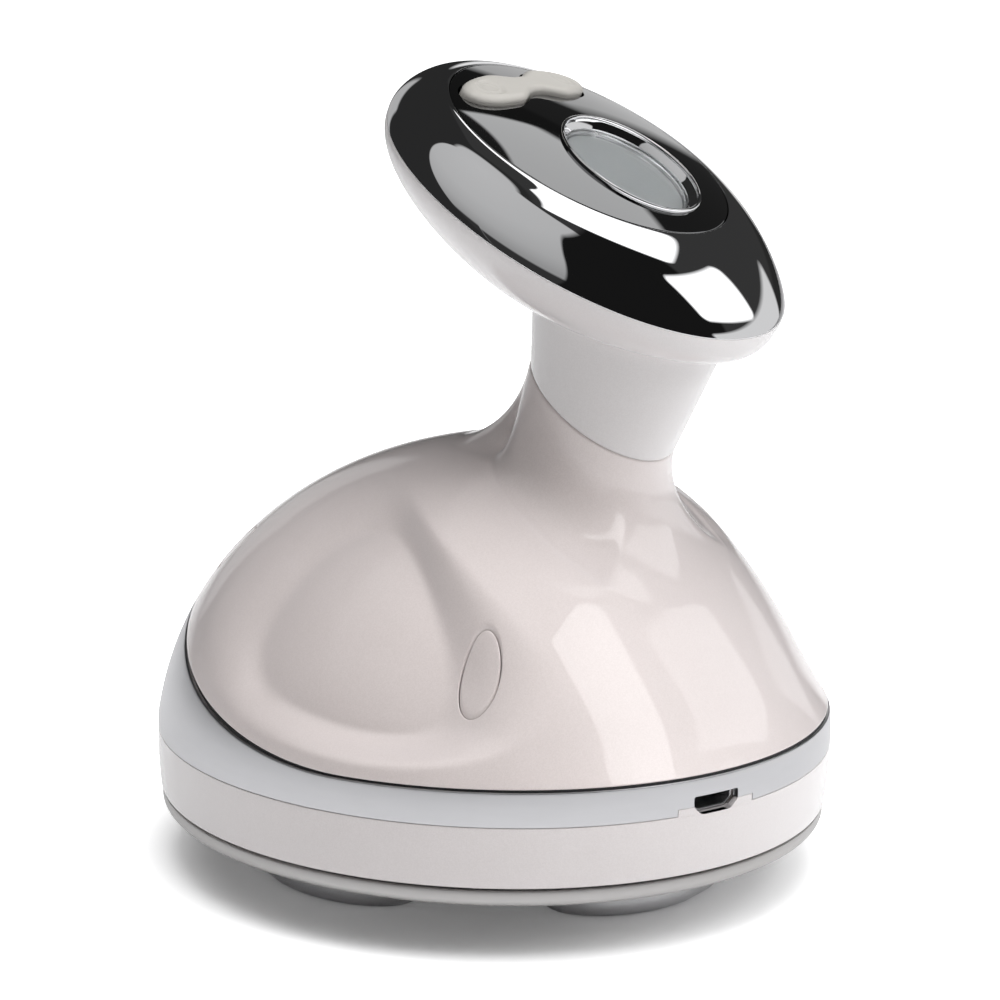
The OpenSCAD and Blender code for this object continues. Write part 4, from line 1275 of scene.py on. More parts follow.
@dataclass
class Base:
    """The side wall, the metal band, the bottom plate and the three electrodes."""

    columns: int = 360
    bosses: tuple[tuple[float, float], ...] = ((40.2, -60.0), (40.2, 60.0), (38.5, -146.0), (38.5, 146.0))
    board_posts: tuple[tuple[float, float], ...] = ((36.0, 30.0), (36.0, -95.0), (36.0, 95.0), (36.0, 180.0))
    tray_posts: tuple[tuple[float, float], ...] = ((24.0, -45.0), (24.0, 45.0), (24.7, -124.6), (24.7, 124.6))
    pad_angles: tuple[float, ...] = (0.0, -120.0, 120.0)
    stud_angles: tuple[float, ...] = (-24.0, 24.0)
    stud_d: float = 26.0
    notch: tuple[float, float] = (-26.6, -10.8)

    def sector(self, profile: list[tuple[float, float]], start: float, stop: float) -> Sheet:
        """A profile carried along an arc, with both ends closed to their middles.

        Args:
            profile: distances from the axis and heights.
            start: angle of the first end.
            stop: angle of the other end.

        Returns:
            The closed sheet of the arc.
        """
        line = np.array(profile, float)
        u = np.linspace(start, stop, 49)[:, None]
        rings = vector(line[:, 0] * sind(u), -line[:, 0] * cosd(u), line[:, 1])
        return capped(rings)

    def post(self, place: tuple[float, float], outer: float, inner: float, low: float, high: float) -> Sheet:
        """A hollow round post on the floor.

        Args:
            place: the post's distance from the axis and its angle.
            outer: outer radius.
            inner: radius of the bore.
            low: height of the foot.
            high: height of the top.

        Returns:
            The looped sheet of the post.
        """
        ring = lathe([(inner, low), (outer, low), (outer, high), (inner, high)], 48, looped=True)
        x = place[0] * float(sind(place[1]))
        y = -place[0] * float(cosd(place[1]))
        return moved(ring, x, y)

    def stud_holes(self) -> bpy.types.Object:
        """Bars to cut the holes of the electrodes' studs with."""
        bar = lathe([(0.0, 0.0), (1.6, 0.0), (1.6, 40.0), (0.0, 40.0)], 48)
        angles = [pad + stud for pad in self.pad_angles for stud in self.stud_angles]
        return solid("stud_cutters", [
            moved(bar, self.stud_d * float(sind(a)), -self.stud_d * float(cosd(a))) for a in angles])

    def wall(self) -> bpy.types.Object:
        """The side wall with its floor, its posts and the tab under the port.

        Returns:
            The wall, dressed.
        """
        r = FORM.base_r
        z0 = FORM.wall_z
        h = np.linspace(0.0, 1.0, 26)
        curve = [(r - 0.5 * (1.0 - t) ** 2.5, z0 + FORM.wall_h * t) for t in h]
        foot = [(curve[0][0] - 0.18, z0), (curve[0][0] - 0.05, z0 + 0.05)]
        curve = foot + [p for p in curve if z0 + 0.1 < p[1] < FORM.line_z - 0.2]
        top = [(r, FORM.line_z - 0.15), (r - 0.04, FORM.line_z - 0.04), (r - 0.15, FORM.line_z)]
        inside = [(r - FORM.wall_t, FORM.line_z), (r - FORM.wall_t, z0 + 2.0), (0.0, z0 + 2.0)]
        shell = solid("base_wall", [lathe([(0.0, z0)] + curve + top + inside, self.columns)], 40.0)
        tab = solid("tab", [self.sector(
            [(r - 1.0, 19.5), (r - 0.03, 19.5), (r - 0.03, 20.9), (r - 0.1, 21.0), (r - 1.0, 21.0)],
            self.notch[0] + 0.12, self.notch[1] - 0.12)])
        tab = carved(tab, [PORT.cutter(0.05, r - 8.0, 12.0)])
        shell = carved(shell, [self.stud_holes(), PORT.cutter(0.05, r - 8.0, 12.0)], 40.0)
        floor_z = z0 + 2.0 - 0.01
        board_z = FORM.line_z + FORM.port_z - FORM.port_h / 2.0 - 1.6
        posts = [self.post(p, 4.2, 1.45, floor_z, FORM.line_z + 3.5) for p in self.bosses]
        posts += [self.post(p, 2.6, 1.05, floor_z, board_z) for p in self.board_posts]
        posts += [self.post(p, 2.6, 1.05, floor_z, FORM.line_z + 2.0) for p in self.tray_posts]
        join(shell, [tab, solid("posts", posts)])
        return dress(shell, "pearl_base", "housing", "base_shell")

    def band(self) -> bpy.types.Object:
        """The metal band with rounded edges, notched over the tab and cut for the port.

        Returns:
            The band, dressed.
        """
        u = np.broadcast_to(turns(self.columns), (9, self.columns))
        top = FORM.band_top(u)
        a = np.linspace(0.0, 90.0, 9)[:, None]
        edge = 0.2
        upper = FORM.band_face(u, top - edge * (1.0 - sind(a)), edge * (1.0 - cosd(a)))
        lower = FORM.band_face(u, 0.02 + 0.16 * (1.0 - sind(90.0 - a)), 0.16 * (1.0 - cosd(90.0 - a)))
        u = np.broadcast_to(turns(self.columns), (22, self.columns))
        way = np.linspace(0.0, 1.0, 24)[1:-1, None]
        face = FORM.band_face(u, 0.18 + (FORM.band_top(u) - edge - 0.18) * way)
        back = FORM.band_face(u[:6], FORM.band_top(u[:6]) * np.linspace(1.0, 0.004, 6)[:, None], 1.0)
        band = solid("metal_band", [Sheet(np.concatenate([lower, face, upper, back]), looped=True)], 50.0)
        r = FORM.base_r
        notch = solid("notch_cutter", [self.sector(
            [(r - 3.0, 19.0), (r + 3.0, 19.0), (r + 3.0, 21.05), (r - 3.0, 21.05)], *self.notch)])
        band = carved(band, [notch, PORT.cutter(0.05, r - 8.0, 12.0)], 40.0)
        return dress(band, "satin_chrome", "housing", "chrome_band")

    def plate(self) -> bpy.types.Object:
        """The bottom plate: nearly flat, with a round edge and a step up to the wall.

        Returns:
            The plate, dressed.
        """
        r = FORM.base_r
        z = FORM.plate_z
        low = [(0.0, z - 0.25), (40.0, z - 0.25), (42.0, z - 0.2), (44.0, z - 0.12)]
        a = np.linspace(0.0, 90.0, 17)
        edge = [(r - 2.7 + 2.0 * float(sind(b)), z + 1.5 - 1.5 * float(cosd(b))) for b in a]
        step = ((0.7, 2.35), (0.76, 2.5), (0.95, 2.6), (1.4, 2.6), (1.6, 2.5))
        top = [(r - inset, z + rise) for inset, rise in step]
        inside = [(r - 3.7, z + 2.5), (r - 3.7, FORM.wall_z), (0.0, FORM.wall_z)]
        plate = solid("base_plate", [lathe(low + edge + top + inside, self.columns)], 40.0)
        plate = carved(plate, [self.stud_holes()], 40.0)
        return dress(plate, "silver_plate", "housing", "bottom_plate")

    def pad(self, name: str, node: str, angle: float) -> bpy.types.Object:
        """An electrode: a bean-shaped metal cup with a rounded lower edge, and its studs.

        Args:
            name: the piece's name.
            node: the solid that it replaces.
            angle: its angle from the front.

        Returns:
            The piece.
        """
        s = (360.0 * (np.arange(192) + 0.5) / 192)
        s = s - 20.0 * sind(4.0 * s) / 4.0
        a = np.linspace(0.0, 90.0, 12)
        top = FORM.pad_h
        outer = [(2.4 * (1.0 - float(sind(b))), 1.9 * (1.0 - float(cosd(b)))) for b in a]
        outer += [(0.0, z) for z in (2.4, 3.4, 4.6, 6.0, top - 0.15)] + [(0.06, top - 0.04), (0.15, top)]
        inner = [(1.4, top), (1.4, 2.4), (3.2, 1.3)]
        rings = [np.column_stack([FORM.pad_outline(s, k), np.full(s.shape, z)]) for k, z in outer + inner]
        spine = FORM.pad_outline(s, 2.4)
        line = FORM.pad_span * np.sign(cosd(s)) * np.abs(cosd(s)) ** FORM.pad_square * 0.8
        mean = 0.5 * (FORM.pad_outer(line) + FORM.pad_inner)
        core = np.stack([mean * sind(line), -mean * cosd(line)], axis=-1)
        flat = np.zeros(s.shape)
        under = [np.column_stack([core + (spine - core) * w, flat]) for w in (0.0, 0.35, 0.7, 0.9)]
        deep = FORM.pad_outline(s, 3.2)
        over = [np.column_stack([core + (deep - core) * w, flat + 1.3]) for w in (0.6, 0.0)]
        sheets = [Sheet(np.array(under + rings + over))]
        for stud in self.stud_angles:
            x = self.stud_d * float(sind(stud))
            y = -self.stud_d * float(cosd(stud))
            rod = [(0.0, 1.25), (2.6, 1.25), (2.6, 7.2), (1.5, 7.2), (1.5, 15.9), (1.4, 16.0), (0.0, 16.0)]
            sheets.append(moved(lathe(rod, 48), x, y))
        c = float(cosd(angle))
        q = float(sind(angle))
        turn = np.array([[c, -q, 0.0], [q, c, 0.0], [0.0, 0.0, 1.0]])
        piece = solid(name, [Sheet(sheet.rings @ turn.T, sheet.looped) for sheet in sheets], 35.0)
        return dress(piece, "electrode_metal", "housing", node)

    def build(self) -> list[bpy.types.Object]:
        """Makes every piece of the base."""
        pads = [
            self.pad("front_pad", "front_electrode", self.pad_angles[0]),
            self.pad("left_pad", "left_electrode", self.pad_angles[1]),
            self.pad("right_pad", "right_electrode", self.pad_angles[2]),
        ]
        return [self.wall(), self.band(), self.plate(), *pads]


@dataclass
class Head:
    """The head: pearl cup, polished dome, mirror panel, display and rocker key."""

    columns: int = 288
    panel_t: float = 1.4
    crease_r: float = 0.11

    def cup(self) -> bpy.types.Object:
        """The collar and bowl in one shell, with a softened crease between them.

        Returns:
            The cup, dressed.
        """
        n = self.columns
        edge = [(0.02 * (1.0 - float(cosd(b))), 0.26 * (1.0 - float(sind(b)))) for b in (0, 25, 50, 75, 90)]
        collar = [(v, 0.0) for v in np.linspace(0.03, 1.0 - self.crease_r, 30)]
        low = rows_of(FORM.collar, edge + collar, n)
        u = turns(n)
        start = FORM.collar(u, np.full_like(u, 1.0 - self.crease_r))
        turn = FORM.crease(u)
        stop = FORM.bowl(u, np.full_like(u, 0.055))
        t = np.linspace(0.0, 1.0, 9)[1:-1, None, None]
        soft = (1.0 - t) ** 2 * start + 2.0 * t * (1.0 - t) * turn + t**2 * stop
        bowl = rows_of(FORM.bowl, [(v, 0.0) for v in np.linspace(0.055, 0.995, 60)], n)
        lip = rows_of(FORM.bowl, [(0.998, 0.04), (1.0, 0.14), (1.0, 0.3)], n)
        inner = rows_of(FORM.bowl, [(v, FORM.wall_t) for v in np.linspace(1.0, 0.0, 16)], n)
        inside = rows_of(FORM.collar, [(v, FORM.wall_t) for v in (0.8, 0.5, 0.2, 0.0)], n)
        rings = np.concatenate([low, soft, bowl, lip, inner, inside])
        cup = solid("head_bowl", [Sheet(rings, looped=True)], 50.0)
        return dress(cup, "pearl_head", "housing", "head_cup")

    def cap(self) -> bpy.types.Object:
        """The polished dome with a tiny round at the rim and at the panel.

        Returns:
            The polished dome, dressed.
        """
        a = np.linspace(0.0, 90.0, 6)
        low = [(0.008 + 0.012 * (1.0 - float(cosd(b))), 0.22 * (1.0 - float(sind(b)))) for b in a]
        face = [(v, 0.0) for v in np.linspace(0.02, 0.985, 92)[1:-1]]
        high = [(0.985 + 0.015 * float(sind(b)), 0.2 * (1.0 - float(cosd(b)))) for b in a]
        inner = [(v, 1.5) for v in np.linspace(1.0, 0.008, 14)]
        rings = rows_of(FORM.cap, low + face + high + inner, self.columns)
        cap = solid("polished_cap", [Sheet(rings, looped=True)], 55.0)
        return dress(cap, "mirror_chrome", "housing", "chrome_dome")

    def panel(self) -> bpy.types.Object:
        """The crowned mirror panel with a round edge, cut for the display and the key.

        Returns:
            The panel, dressed.
        """
        r = FORM.panel_r - 0.1
        radii = np.concatenate([np.linspace(0.0, r - 0.2, 70), r - 0.2 + 0.2 * sind(np.array([30, 60, 90]))])
        sink = np.concatenate([np.zeros(70), 0.2 * (1.0 - cosd(np.array([30, 60, 90])))])
        u = turns(self.columns)[None, :]
        x = radii[:, None] * sind(u)
        y = -radii[:, None] * cosd(u)
        top = vector(x, y, FORM.crown(x, y) - sink[:, None])
        low_r = np.array([r, r * 0.5, 0.0])[:, None]
        x = low_r * sind(u)
        y = -low_r * cosd(u)
        low = vector(x, y, FORM.crown(x, y) - self.panel_t)
        panel = solid("glass_panel", [Sheet(FORM.on_panel(np.concatenate([top, low])))], 40.0)
        bore = FORM.bezel_r - 0.25
        hole = lathe([(0.0, -20.0), (bore, -20.0), (bore, 20.0), (0.0, 20.0)], 192)
        hole = solid("display_cutter", [Sheet(FORM.on_display(hole.rings))])
        panel = carved(panel, [hole, self.key_cutter()], 40.0)
        middle = FORM.on_panel(np.array([0.0, 0.0, FORM.crown_h - FORM.crown_r]))
        true_normals(panel, middle, FORM.crown_r)
        return dress(panel, "panel_mirror", "housing", "mirror_panel")

    def key_cutter(self) -> bpy.types.Object:
        """A bar of the key's outline with its gap.

        Returns:
            The bar that is cut from the panel.
        """
        s = 360.0 * np.arange(160) / 160
        x, y = FORM.key_outline(s, -0.4)
        rings = np.array([vector(x, y, np.full_like(x, z)) for z in (-6.0, 8.0)])
        return solid("key_cutter", [Sheet(FORM.on_panel(capped(rings).rings))])

    def bezel(self) -> bpy.types.Object:
        """The display's chrome ring: a fine round lip and a smooth sloping inner wall.

        Returns:
            The ring, dressed.
        """
        b = FORM.bezel_r
        round_r = 0.28
        lip = [
            (b - round_r + round_r * float(sind(a)), -round_r + round_r * float(cosd(a)))
            for a in np.linspace(90.0, -60.0, 16)
        ]
        t = np.linspace(0.0, 1.0, 14)[1:]
        slope = [(b - 0.46 - 0.99 * float(w), -0.5 - 0.92 * float(w) ** 1.25) for w in t]
        back = [(b - 1.45, -1.6), (b - 0.35, -1.6), (b - 0.35, -0.54), (b, -0.54)]
        ring = lathe(back + lip + slope, 192, looped=True)
        piece = solid("display_ring", [Sheet(FORM.on_display(ring.rings), looped=True)], 40.0)
        return dress(piece, "mirror_chrome", "housing", "display_bezel")

    def well(self) -> bpy.types.Object:
        """The bright wall under the display's glass.

        Returns:
            The wall, dressed.
        """
        b = FORM.bezel_r
        profile = [
            (b - 1.7, -8.4), (b - 0.35, -8.4), (b - 0.35, -1.6), (b - 0.85, -1.6),
            (b - 0.85, -2.4), (b - 1.62, -2.4), (b - 1.7, -2.5),
        ]
        ring = lathe(profile, 160, looped=True)
        piece = solid("display_wall", [Sheet(FORM.on_display(ring.rings), looped=True)], 30.0)
        return dress(piece, "well_silver", "housing", "display_well")

    def key(self) -> bpy.types.Object:
        """The rocker key: a long two-lobed cap with a round edge and a shallow dish on each lobe.

        Returns:
            The piece, with the pivot and the two legs under it.
        """
        s = 360.0 * (np.arange(240) + 0.5) / 240
        under = [(0.25, -2.0), (0.08, -1.9), (0.0, -1.75)]
        rings = []
        for k, z in under:
            x, y = FORM.key_outline(s, k)
            rings.append(vector(x, y, np.full_like(x, z)))
        edge = 1.3
        for a in np.linspace(0.0, 90.0, 14):
            x, y = FORM.key_outline(s, edge * (1.0 - float(cosd(a))))
            rings.append(vector(x, y, FORM.crown(x, y) + FORM.key_h - 0.9 + 0.9 * float(sind(a))))
        x0, y0 = FORM.key_outline(s, edge)
        for w in np.linspace(1.0, 0.0, 22)[1:]:
            x = x0
            y = FORM.key_y + (y0 - FORM.key_y) * w
            rings.append(vector(x, y, FORM.crown(x, y) + FORM.key_h + self.dish(x, y)))
        low_x, low_y = FORM.key_outline(s, 0.25)
        flat = []
        for w in (0.0, 0.5):
            flat.append(vector(low_x, FORM.key_y + (low_y - FORM.key_y) * w, np.full_like(low_x, -2.0)))
        sheets = [Sheet(FORM.on_panel(np.array(flat + rings)))]
        sheets.append(self.rod(1.9, 0.86))
        for x in (-8.0, 8.0):
            leg = lathe([(0.0, -4.6), (1.1, -4.6), (1.2, -4.5), (1.2, -1.7), (0.0, -1.7)], 32)
            sheets.append(Sheet(FORM.on_panel(leg.rings + np.array([x, FORM.key_y, 0.0]))))
        piece = solid("rocker_cap", sheets, 40.0)
        return dress(piece, "key_grey", "rocker", "rocker_key")

    def dish(self, x: np.ndarray, y: np.ndarray) -> np.ndarray:
        """Height of the lobes' shallow round dishes and the faint ring in each.

        Args:
            x: way along the key.
            y: way across the key.

        Returns:
            The height to add to the key's top.
        """
        d = np.hypot(np.abs(x) - 9.3, (y - FORM.key_y) * 1.02)
        bowl = -0.16 * (1.0 - smooth((d - 1.7) / 0.75))
        ring = 0.07 * np.exp(-(((d - 1.15) / 0.16) ** 2))
        return bowl + ring

    def rod(self, outer: float, inner: float) -> Sheet:
        """The key's pivot sleeve, which lies across the key under its waist."""
        ring = lathe([(inner, -2.5), (outer, -2.5), (outer, 2.5), (inner, 2.5)], 48, looped=True).rings
        turned = vector(ring[..., 0], ring[..., 2] + FORM.key_y, ring[..., 1] - 3.0)
        return Sheet(FORM.on_panel(turned), looped=True)

    def build(self) -> list[bpy.types.Object]:
        """Makes every piece of the head."""
        return [self.cup(), self.cap(), self.panel(), self.bezel(), self.well(), self.key()]


@dataclass
class Innards:
    """The solids that stay as they are and get a detailed finish."""

    nodes: dict[str, bpy.types.Object] = field(default_factory=dict)

    def dress(self) -> None:
        """Gives every shown solid the finish of its own material slot."""
        slots = self.slots()
        for name, node in sorted(self.nodes.items()):
            if node.hide_render:
                continue
            slot = slots.get(name, "dark_frame")
            for index in range(max(1, len(node.material_slots))):
                if not node.material_slots:
                    node.data.materials.append(FINISHES[slot].material())
                node.material_slots[index].material = FINISHES[slot].material()
            LOG.info("%-18s solid kept, %s", name, slot)

    def slots(self) -> dict[str, str]:
        """The material slot of each solid, by its name."""
        return {
            "band_seal": "dark_seal", "plate_seal": "dark_seal", "electrode_gaskets": "dark_seal",
            "electrode_nuts": "nut_brass", "contact_pins": "gold_pin",
            "main_board": "board_green", "head_board": "board_green",
            "board_screws": "screw_steel", "tray_screws": "screw_steel", "clip_screws": "screw_steel",
            "housing_screws": "screw_steel", "frame_screws": "screw_steel", "rocker_pin": "screw_steel",
            "port_tongue": "black_plastic", "buzzer": "black_plastic", "head_cable": "black_plastic",
            "battery_pad": "black_plastic", "key_switches": "black_plastic",
            "output_coil": "coil_copper", "inner_tray": "inner_white", "neck_sleeve": "inner_white",
            "battery": "cell_wrap", "power_leads": "lead_red",
            "vibration_motor": "motor_steel", "motor_clip": "motor_steel", "motor_shaft": "motor_steel",
            "motor_weight": "weight_metal", "head_frame": "dark_frame",
            "display_lens": "lens_glass", "display_screen": "screen_grey",
        }


@dataclass
class Wire:
    """A number in a shader tree: arithmetic with it adds math nodes."""

    tree: bpy.types.NodeTree
    socket: bpy.types.NodeSocket

    def through(self, operation: str, *others: object) -> "Wire":
        """The result of a math node whose first input is this number."""
        return self.chained(operation, (self, *others))

    def chained(self, operation: str, values: tuple[object, ...]) -> "Wire":
        """The result of a math node whose inputs are numbers or wires.

        Args:
            operation: name of the math node's operation.
            values: the inputs in their order.

        Returns:
            The node's output.
        """
        node = self.tree.nodes.new("ShaderNodeMath")
        node.operation = operation
        for index, value in enumerate(values):
            if isinstance(value, Wire):
                self.tree.links.new(value.socket, node.inputs[index])
            else:
                node.inputs[index].default_value = float(value)
        return Wire(self.tree, node.outputs[0])

    def __add__(self, other: object) -> "Wire":
        """The sum."""
        return self.through("ADD", other)

    def __sub__(self, other: object) -> "Wire":
        """The difference."""
        return self.through("SUBTRACT", other)

    def __mul__(self, other: object) -> "Wire":
        """The product."""
        return self.through("MULTIPLY", other)

    def __truediv__(self, other: object) -> "Wire":
        """The quotient."""
        return self.through("DIVIDE", other)

    def __abs__(self) -> "Wire":
        """The size without its sign."""
        return self.through("ABSOLUTE")

    def taken_from(self, other: float) -> "Wire":
        """A number less this one."""
        return self.chained("SUBTRACT", (other, self))

    def over(self, other: object) -> "Wire":
        """The larger of the two."""
        return self.through("MAXIMUM", other)

    def under(self, other: object) -> "Wire":
        """The smaller of the two."""
        return self.through("MINIMUM", other)


@dataclass(frozen=True)
class Card:
    """A card or window of the studio, as a rounded patch of directions in degrees.

    Args:
        azimuth: middle, 0 behind the object and 90 at the picture's right.
        elevation: middle.
        half_width: half the width in azimuth.
        half_height: half the height in elevation.
        level: brightness.
        corner: radius of the corners.
        soft: width of the soft edge.
        slant: change of azimuth for each degree of elevation.
        tip: change of elevation for each degree of azimuth.
        taper: change of the half width for each degree of elevation.
    """

    azimuth: float
    elevation: float
    half_width: float
    half_height: float
    level: float
    corner: float = 3.0
    soft: float = 1.5
    slant: float = 0.0
    tip: float = 0.0
    taper: float = 0.0

    def values(self) -> dict[str, float]:
        """What the card's mask is given."""
        return {
            "Middle": self.azimuth, "Height": self.elevation,
            "Half Width": self.half_width, "Half Height": self.half_height,
            "Corner": self.corner, "Soft": self.soft,
            "Slant": self.slant, "Tip": self.tip, "Taper": self.taper,
        }


@dataclass
class Studio:
    """Floor, surrounding studio, lamps and camera."""

    cut: float = -140.0
    aim_z: float = 0.05
    lamp_distance: float = 1.2
    shade_from: float = 0.040
    shade_to: float = 0.068
    shade_lift: float = 0.10
    soft_lamps: tuple[tuple[str, float, float, tuple[float, float], float], ...] = (
        ("left_box", -100.0, 20.0, (0.9, 0.9), 0.7),
        ("back_box", -60.0, 64.0, (0.9, 0.9), 2.6),
        ("top_box", 172.0, 74.0, (0.8, 0.8), 9.8),
        ("right_box", 112.0, 38.0, (0.8, 0.8), 6.5),
    )
    satin_lamp: tuple[str, float, float, tuple[float, float], float] = (
        "satin_box", 116.0, 40.0, (0.48, 0.55), 2.1)
    polished: tuple[str, ...] = ("polished_cap", "glass_panel", "display_", "chrome_dome", "mirror_panel")
    surround: tuple[tuple[float, float], ...] = (
        (0.0, 0.26), (0.35, 0.30), (0.5, 0.40), (0.67, 0.46), (1.0, 0.5))
    cards: tuple[Card, ...] = (
        Card(187.0, 13.0, 33.0, 14.0, 0.03, corner=2.0, soft=3.0),
        Card(-124.0, 15.0, 20.0, 15.0, 0.03, corner=2.0, soft=3.0),
        Card(-5.0, 37.0, 105.0, 40.0, 0.022, corner=12.0, soft=2.0, slant=0.9, taper=-0.55),
        Card(59.0, 39.0, 49.0, 34.0, 0.035, corner=6.0, soft=2.0),
        Card(120.0, 31.0, 42.0, 28.0, 0.008, corner=12.0, soft=2.0, slant=-0.5, taper=-0.35),
        Card(73.0, 24.8, 15.0, 9.0, 1.25, corner=3.0, soft=1.2, tip=0.32),
        Card(61.0, 54.0, 27.5, 15.7, 1.35, corner=2.0, soft=1.2, slant=1.4, taper=-0.5),
        Card(6.0, 39.5, 12.0, 5.5, 0.022, corner=2.0, soft=1.2, slant=-1.1),
        Card(63.0, 5.0, 28.0, 6.5, 0.65, corner=2.0, soft=2.0),
        Card(-23.0, 11.0, 11.0, 11.5, 0.43, corner=2.0, soft=3.0),
        Card(8.0, 12.0, 6.5, 13.0, 0.8, corner=2.0, soft=3.0),
        Card(136.0, 0.0, 44.0, 4.5, 0.6, corner=2.0, soft=3.0),
    )

    def patch(self) -> bpy.types.NodeTree:
        """The group that gives the mask of one card from the direction's two angles.

        Returns:
            The node group.
        """
        tree = bpy.data.node_groups.new("studio_card", "ShaderNodeTree")
        labels = (
            "Azimuth", "Elevation", "Middle", "Height", "Half Width", "Half Height",
            "Corner", "Soft", "Slant", "Tip", "Taper",
        )
        for label in labels:
            tree.interface.new_socket(name=label, in_out="INPUT", socket_type="NodeSocketFloat")
        tree.interface.new_socket(name="Mask", in_out="OUTPUT", socket_type="NodeSocketFloat")
        sockets = tree.nodes.new("NodeGroupInput").outputs
        given = {label: Wire(tree, sockets[label]) for label in labels}
        out = tree.nodes.new("NodeGroupOutput")
        side = given["Azimuth"] - given["Middle"]
        up = given["Elevation"] - given["Height"] - side * given["Tip"]
        side = side - up * given["Slant"]
        wide = abs(side) - given["Half Width"] - up * given["Taper"] + given["Corner"]
        tall = abs(up) - given["Half Height"] + given["Corner"]
        inner = wide.over(tall).under(0.0)
        wide = wide.over(0.0)
        tall = tall.over(0.0)
        off = (wide * wide + tall * tall).through("SQRT") + inner - given["Corner"]
        mask = (off / given["Soft"]).taken_from(0.5).over(0.0).under(1.0)
        tree.links.new(mask.socket, out.inputs["Mask"])
        return tree

    def world(self) -> None:
        """The studio round the object: white for the camera, cards and windows for the rest."""
        world = bpy.data.worlds.new("studio")
        bpy.context.scene.world = world
        world.use_nodes = True
        tree = world.node_tree
        tree.nodes.clear()
        place = tree.nodes.new("ShaderNodeTexCoord").outputs["Generated"]
        right = self.dot(tree, place, PICTURE_RIGHT)
        away = self.dot(tree, place, PICTURE_AWAY)
        up = self.dot(tree, place, UPWARDS)
        middle = self.cut + 180.0
        c = float(cosd(middle))
        s = float(sind(middle))
        ahead = away * c + right * s
        beside = right * c - away * s
        azimuth = beside.through("ARCTAN2", ahead) * DEGREES_PER_RADIAN + middle
        elevation = up.over(-1.0).under(1.0).through("ARCSINE") * DEGREES_PER_RADIAN
        ramp = tree.nodes.new("ShaderNodeValToRGB")
        tree.links.new((elevation / 90.0).socket, ramp.inputs["Fac"])
        for index, (position, level) in enumerate(self.surround):
            stop = ramp.color_ramp.elements[index] if index < 2 else ramp.color_ramp.elements.new(position)
            stop.position = position
            stop.color = (level, level, level, 1.0)
        light = ramp.outputs["Color"]
        group = self.patch()
        for card in self.cards:
            mask = tree.nodes.new("ShaderNodeGroup")
            mask.node_tree = group
            tree.links.new(azimuth.socket, mask.inputs["Azimuth"])
            tree.links.new(elevation.socket, mask.inputs["Elevation"])
            for label, value in card.values().items():
                mask.inputs[label].default_value = value
            layer = tree.nodes.new("ShaderNodeMix")
            layer.data_type = "RGBA"
            layer.inputs[7].default_value = (card.level, card.level, card.level, 1.0)
            tree.links.new(mask.outputs["Mask"], layer.inputs[0])
            tree.links.new(light, layer.inputs[6])
            light = layer.outputs[2]
        studio = tree.nodes.new("ShaderNodeBackground")
        tree.links.new(light, studio.inputs["Color"])
        white = tree.nodes.new("ShaderNodeBackground")
        white.inputs["Color"].default_value = (1.0, 1.0, 1.0, 1.0)
        path = tree.nodes.new("ShaderNodeLightPath")
        choice = tree.nodes.new("ShaderNodeMixShader")
        tree.links.new(path.outputs["Is Camera Ray"], choice.inputs[0])
        tree.links.new(studio.outputs[0], choice.inputs[1])
        tree.links.new(white.outputs[0], choice.inputs[2])
        out = tree.nodes.new("ShaderNodeOutputWorld")
        tree.links.new(choice.outputs[0], out.inputs["Surface"])

    def dot(self, tree: bpy.types.NodeTree, place: bpy.types.NodeSocket,
            way: tuple[float, float, float]) -> Wire:
        """The share of a direction along another one.

        Args:
            tree: the world's node tree.
            place: the direction that is looked along.
            way: the direction that it is measured along, of length 1.

        Returns:
            The cosine of the angle between the two.
        """
        node = tree.nodes.new("ShaderNodeVectorMath")
        node.operation = "DOT_PRODUCT"
        tree.links.new(place, node.inputs[0])
        node.inputs[1].default_value = way
        return Wire(tree, node.outputs["Value"])

    def floor(self) -> bpy.types.Object:
        """A wide white floor that stays white for the camera outside the object's shadow.

        Returns:
            The floor's object, with its material.
        """
        radii = np.array([0.0, 60.0, 150.0, 400.0, 1500.0, 6000.0])[:, None]
        u = turns(96)[None, :]
        rings = vector(radii * sind(u), -radii * cosd(u), np.zeros_like(radii))
        floor = solid("floor", [Sheet(rings)])
        work = bmesh.new()
        work.from_mesh(floor.data)
        if sum(face.normal.z for face in work.faces) < 0.0:
            bmesh.ops.reverse_faces(work, faces=work.faces)
        work.to_mesh(floor.data)
        work.free()
        material = bpy.data.materials.new("floor_paper")
        material.use_nodes = True
        tree = material.node_tree
        shader = tree.nodes["Principled BSDF"]
        shader.inputs["Base Color"].default_value = (0.90, 0.90, 0.905, 1.0)
        shader.inputs["Roughness"].default_value = 0.9
        shader.inputs["Specular IOR Level"].default_value = 0.1
        lift = tree.nodes.new("ShaderNodeEmission")
        lift.inputs["Color"].default_value = (1.0, 1.0, 1.0, 1.0)
        path = tree.nodes.new("ShaderNodeLightPath")
        seen = Wire(tree, path.outputs["Is Camera Ray"]).over(Wire(tree, path.outputs["Is Transmission Ray"]))
        place = tree.nodes.new("ShaderNodeTexCoord").outputs["Object"]
        length = tree.nodes.new("ShaderNodeVectorMath")
        length.operation = "LENGTH"
        tree.links.new(place, length.inputs[0])
        far = tree.nodes.new("ShaderNodeMapRange")
        far.interpolation_type = "SMOOTHSTEP"
        far.inputs["From Min"].default_value = self.shade_from
        far.inputs["From Max"].default_value = self.shade_to
        far.inputs["To Min"].default_value = self.shade_lift
        far.inputs["To Max"].default_value = 1.0
        tree.links.new(length.outputs["Value"], far.inputs["Value"])
        glow = seen * Wire(tree, far.outputs["Result"])
        tree.links.new(glow.socket, lift.inputs["Strength"])
        both = tree.nodes.new("ShaderNodeAddShader")
        tree.links.new(shader.outputs[0], both.inputs[0])
        tree.links.new(lift.outputs[0], both.inputs[1])
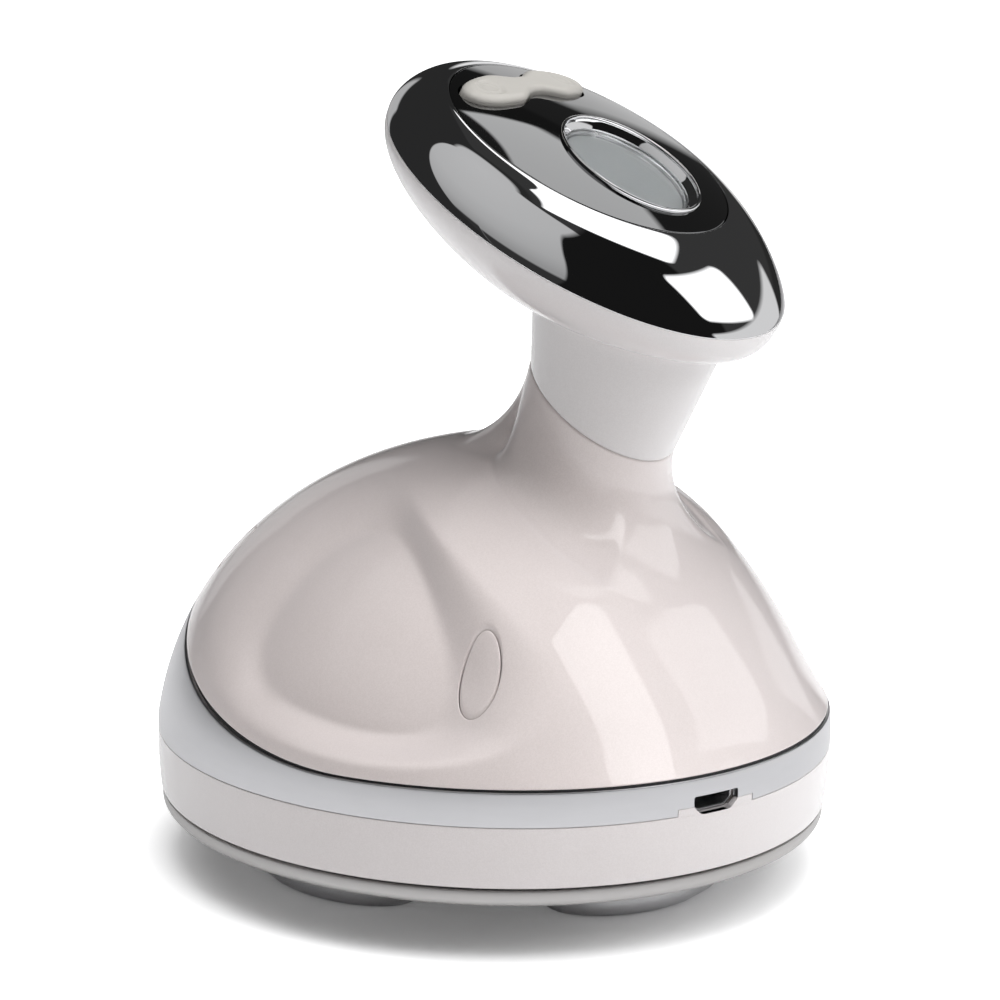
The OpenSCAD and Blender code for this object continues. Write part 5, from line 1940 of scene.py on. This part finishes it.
        tree.links.new(both.outputs[0], tree.nodes["Material Output"].inputs["Surface"])
        floor.data.materials.append(material)
        return floor

    def lamp(self, name: str, azimuth: float, elevation: float, size: tuple[float, float],
             watts: float) -> bpy.types.Object:
        """A soft lamp that faces the object and isn't mirrored in it.

        Args:
            name: its name.
            azimuth, elevation: its direction in degrees, as for the cards.
            size: its width and height in metres.
            watts: its power.

        Returns:
            The lamp.
        """
        light = bpy.data.lights.new(name, "AREA")
        light.shape = "RECTANGLE"
        light.size = size[0]
        light.size_y = size[1]
        light.energy = watts
        thing = bpy.data.objects.new(name, light)
        bpy.context.scene.collection.objects.link(thing)
        level = np.array(PICTURE_RIGHT) * sind(azimuth) + np.array(PICTURE_AWAY) * cosd(azimuth)
        way = level * cosd(elevation) + np.array([0.0, 0.0, sind(elevation)])
        side = np.cross(np.array(UPWARDS), way)
        side = side / np.linalg.norm(side)
        turn = np.eye(4)
        turn[:3, 0] = side
        turn[:3, 1] = np.cross(way, side)
        turn[:3, 2] = way
        turn[:3, 3] = np.array([0.0, 0.0, self.aim_z]) + way * self.lamp_distance
        thing.matrix_world = Matrix(turn.tolist())
        thing.visible_camera = False
        thing.visible_glossy = False
        return thing

    def satin(self, lamp: bpy.types.Object) -> None:
        """Lets a lamp shine in the satin pieces, and keeps it off the polished ones.

        Args:
            lamp: the lamp that is set.
        """
        lamp.visible_glossy = True
        lit = bpy.data.collections.new(f"{lamp.name}_pieces")
        for thing in bpy.data.objects:
            if thing.type == "MESH" and not thing.name.startswith(self.polished):
                lit.objects.link(thing)
        lamp.light_linking.receiver_collection = lit

    def camera(self) -> None:
        """The camera at the photo's place, with a long lens."""
        data = bpy.data.cameras.new("camera")
        data.lens = 114.189
        data.sensor_width = 36.0
        data.clip_end = 50.0
        thing = bpy.data.objects.new("camera", data)
        bpy.context.scene.collection.objects.link(thing)
        thing.matrix_world = Matrix((
            (0.549319, 0.170224, -0.818091, -0.382045),
            (-0.835217, 0.141989, -0.531274, -0.248027),
            (0.025724, 0.975122, 0.220172, 0.156756),
            (0.0, 0.0, 0.0, 1.0),
        ))
        bpy.context.scene.camera = thing

    def build(self) -> None:
        """Makes the whole studio."""
        bpy.context.scene.view_settings.view_transform = "Standard"
        self.world()
        self.floor()
        for lamp in self.soft_lamps:
            self.lamp(*lamp)
        self.satin(self.lamp(*self.satin_lamp))
        self.camera()


def main() -> None:
    """Builds the massager and the studio, and reports each piece."""
    logging.basicConfig(level=logging.INFO, format="%(message)s")
    pieces = UpperShell().build() + Base().build() + PORT.build() + Head().build()
    Innards(frame["nodes"]).dress()
    Studio().build()
    LOG.info("%d new pieces", len(pieces))


if __name__ == "__main__":
    main()
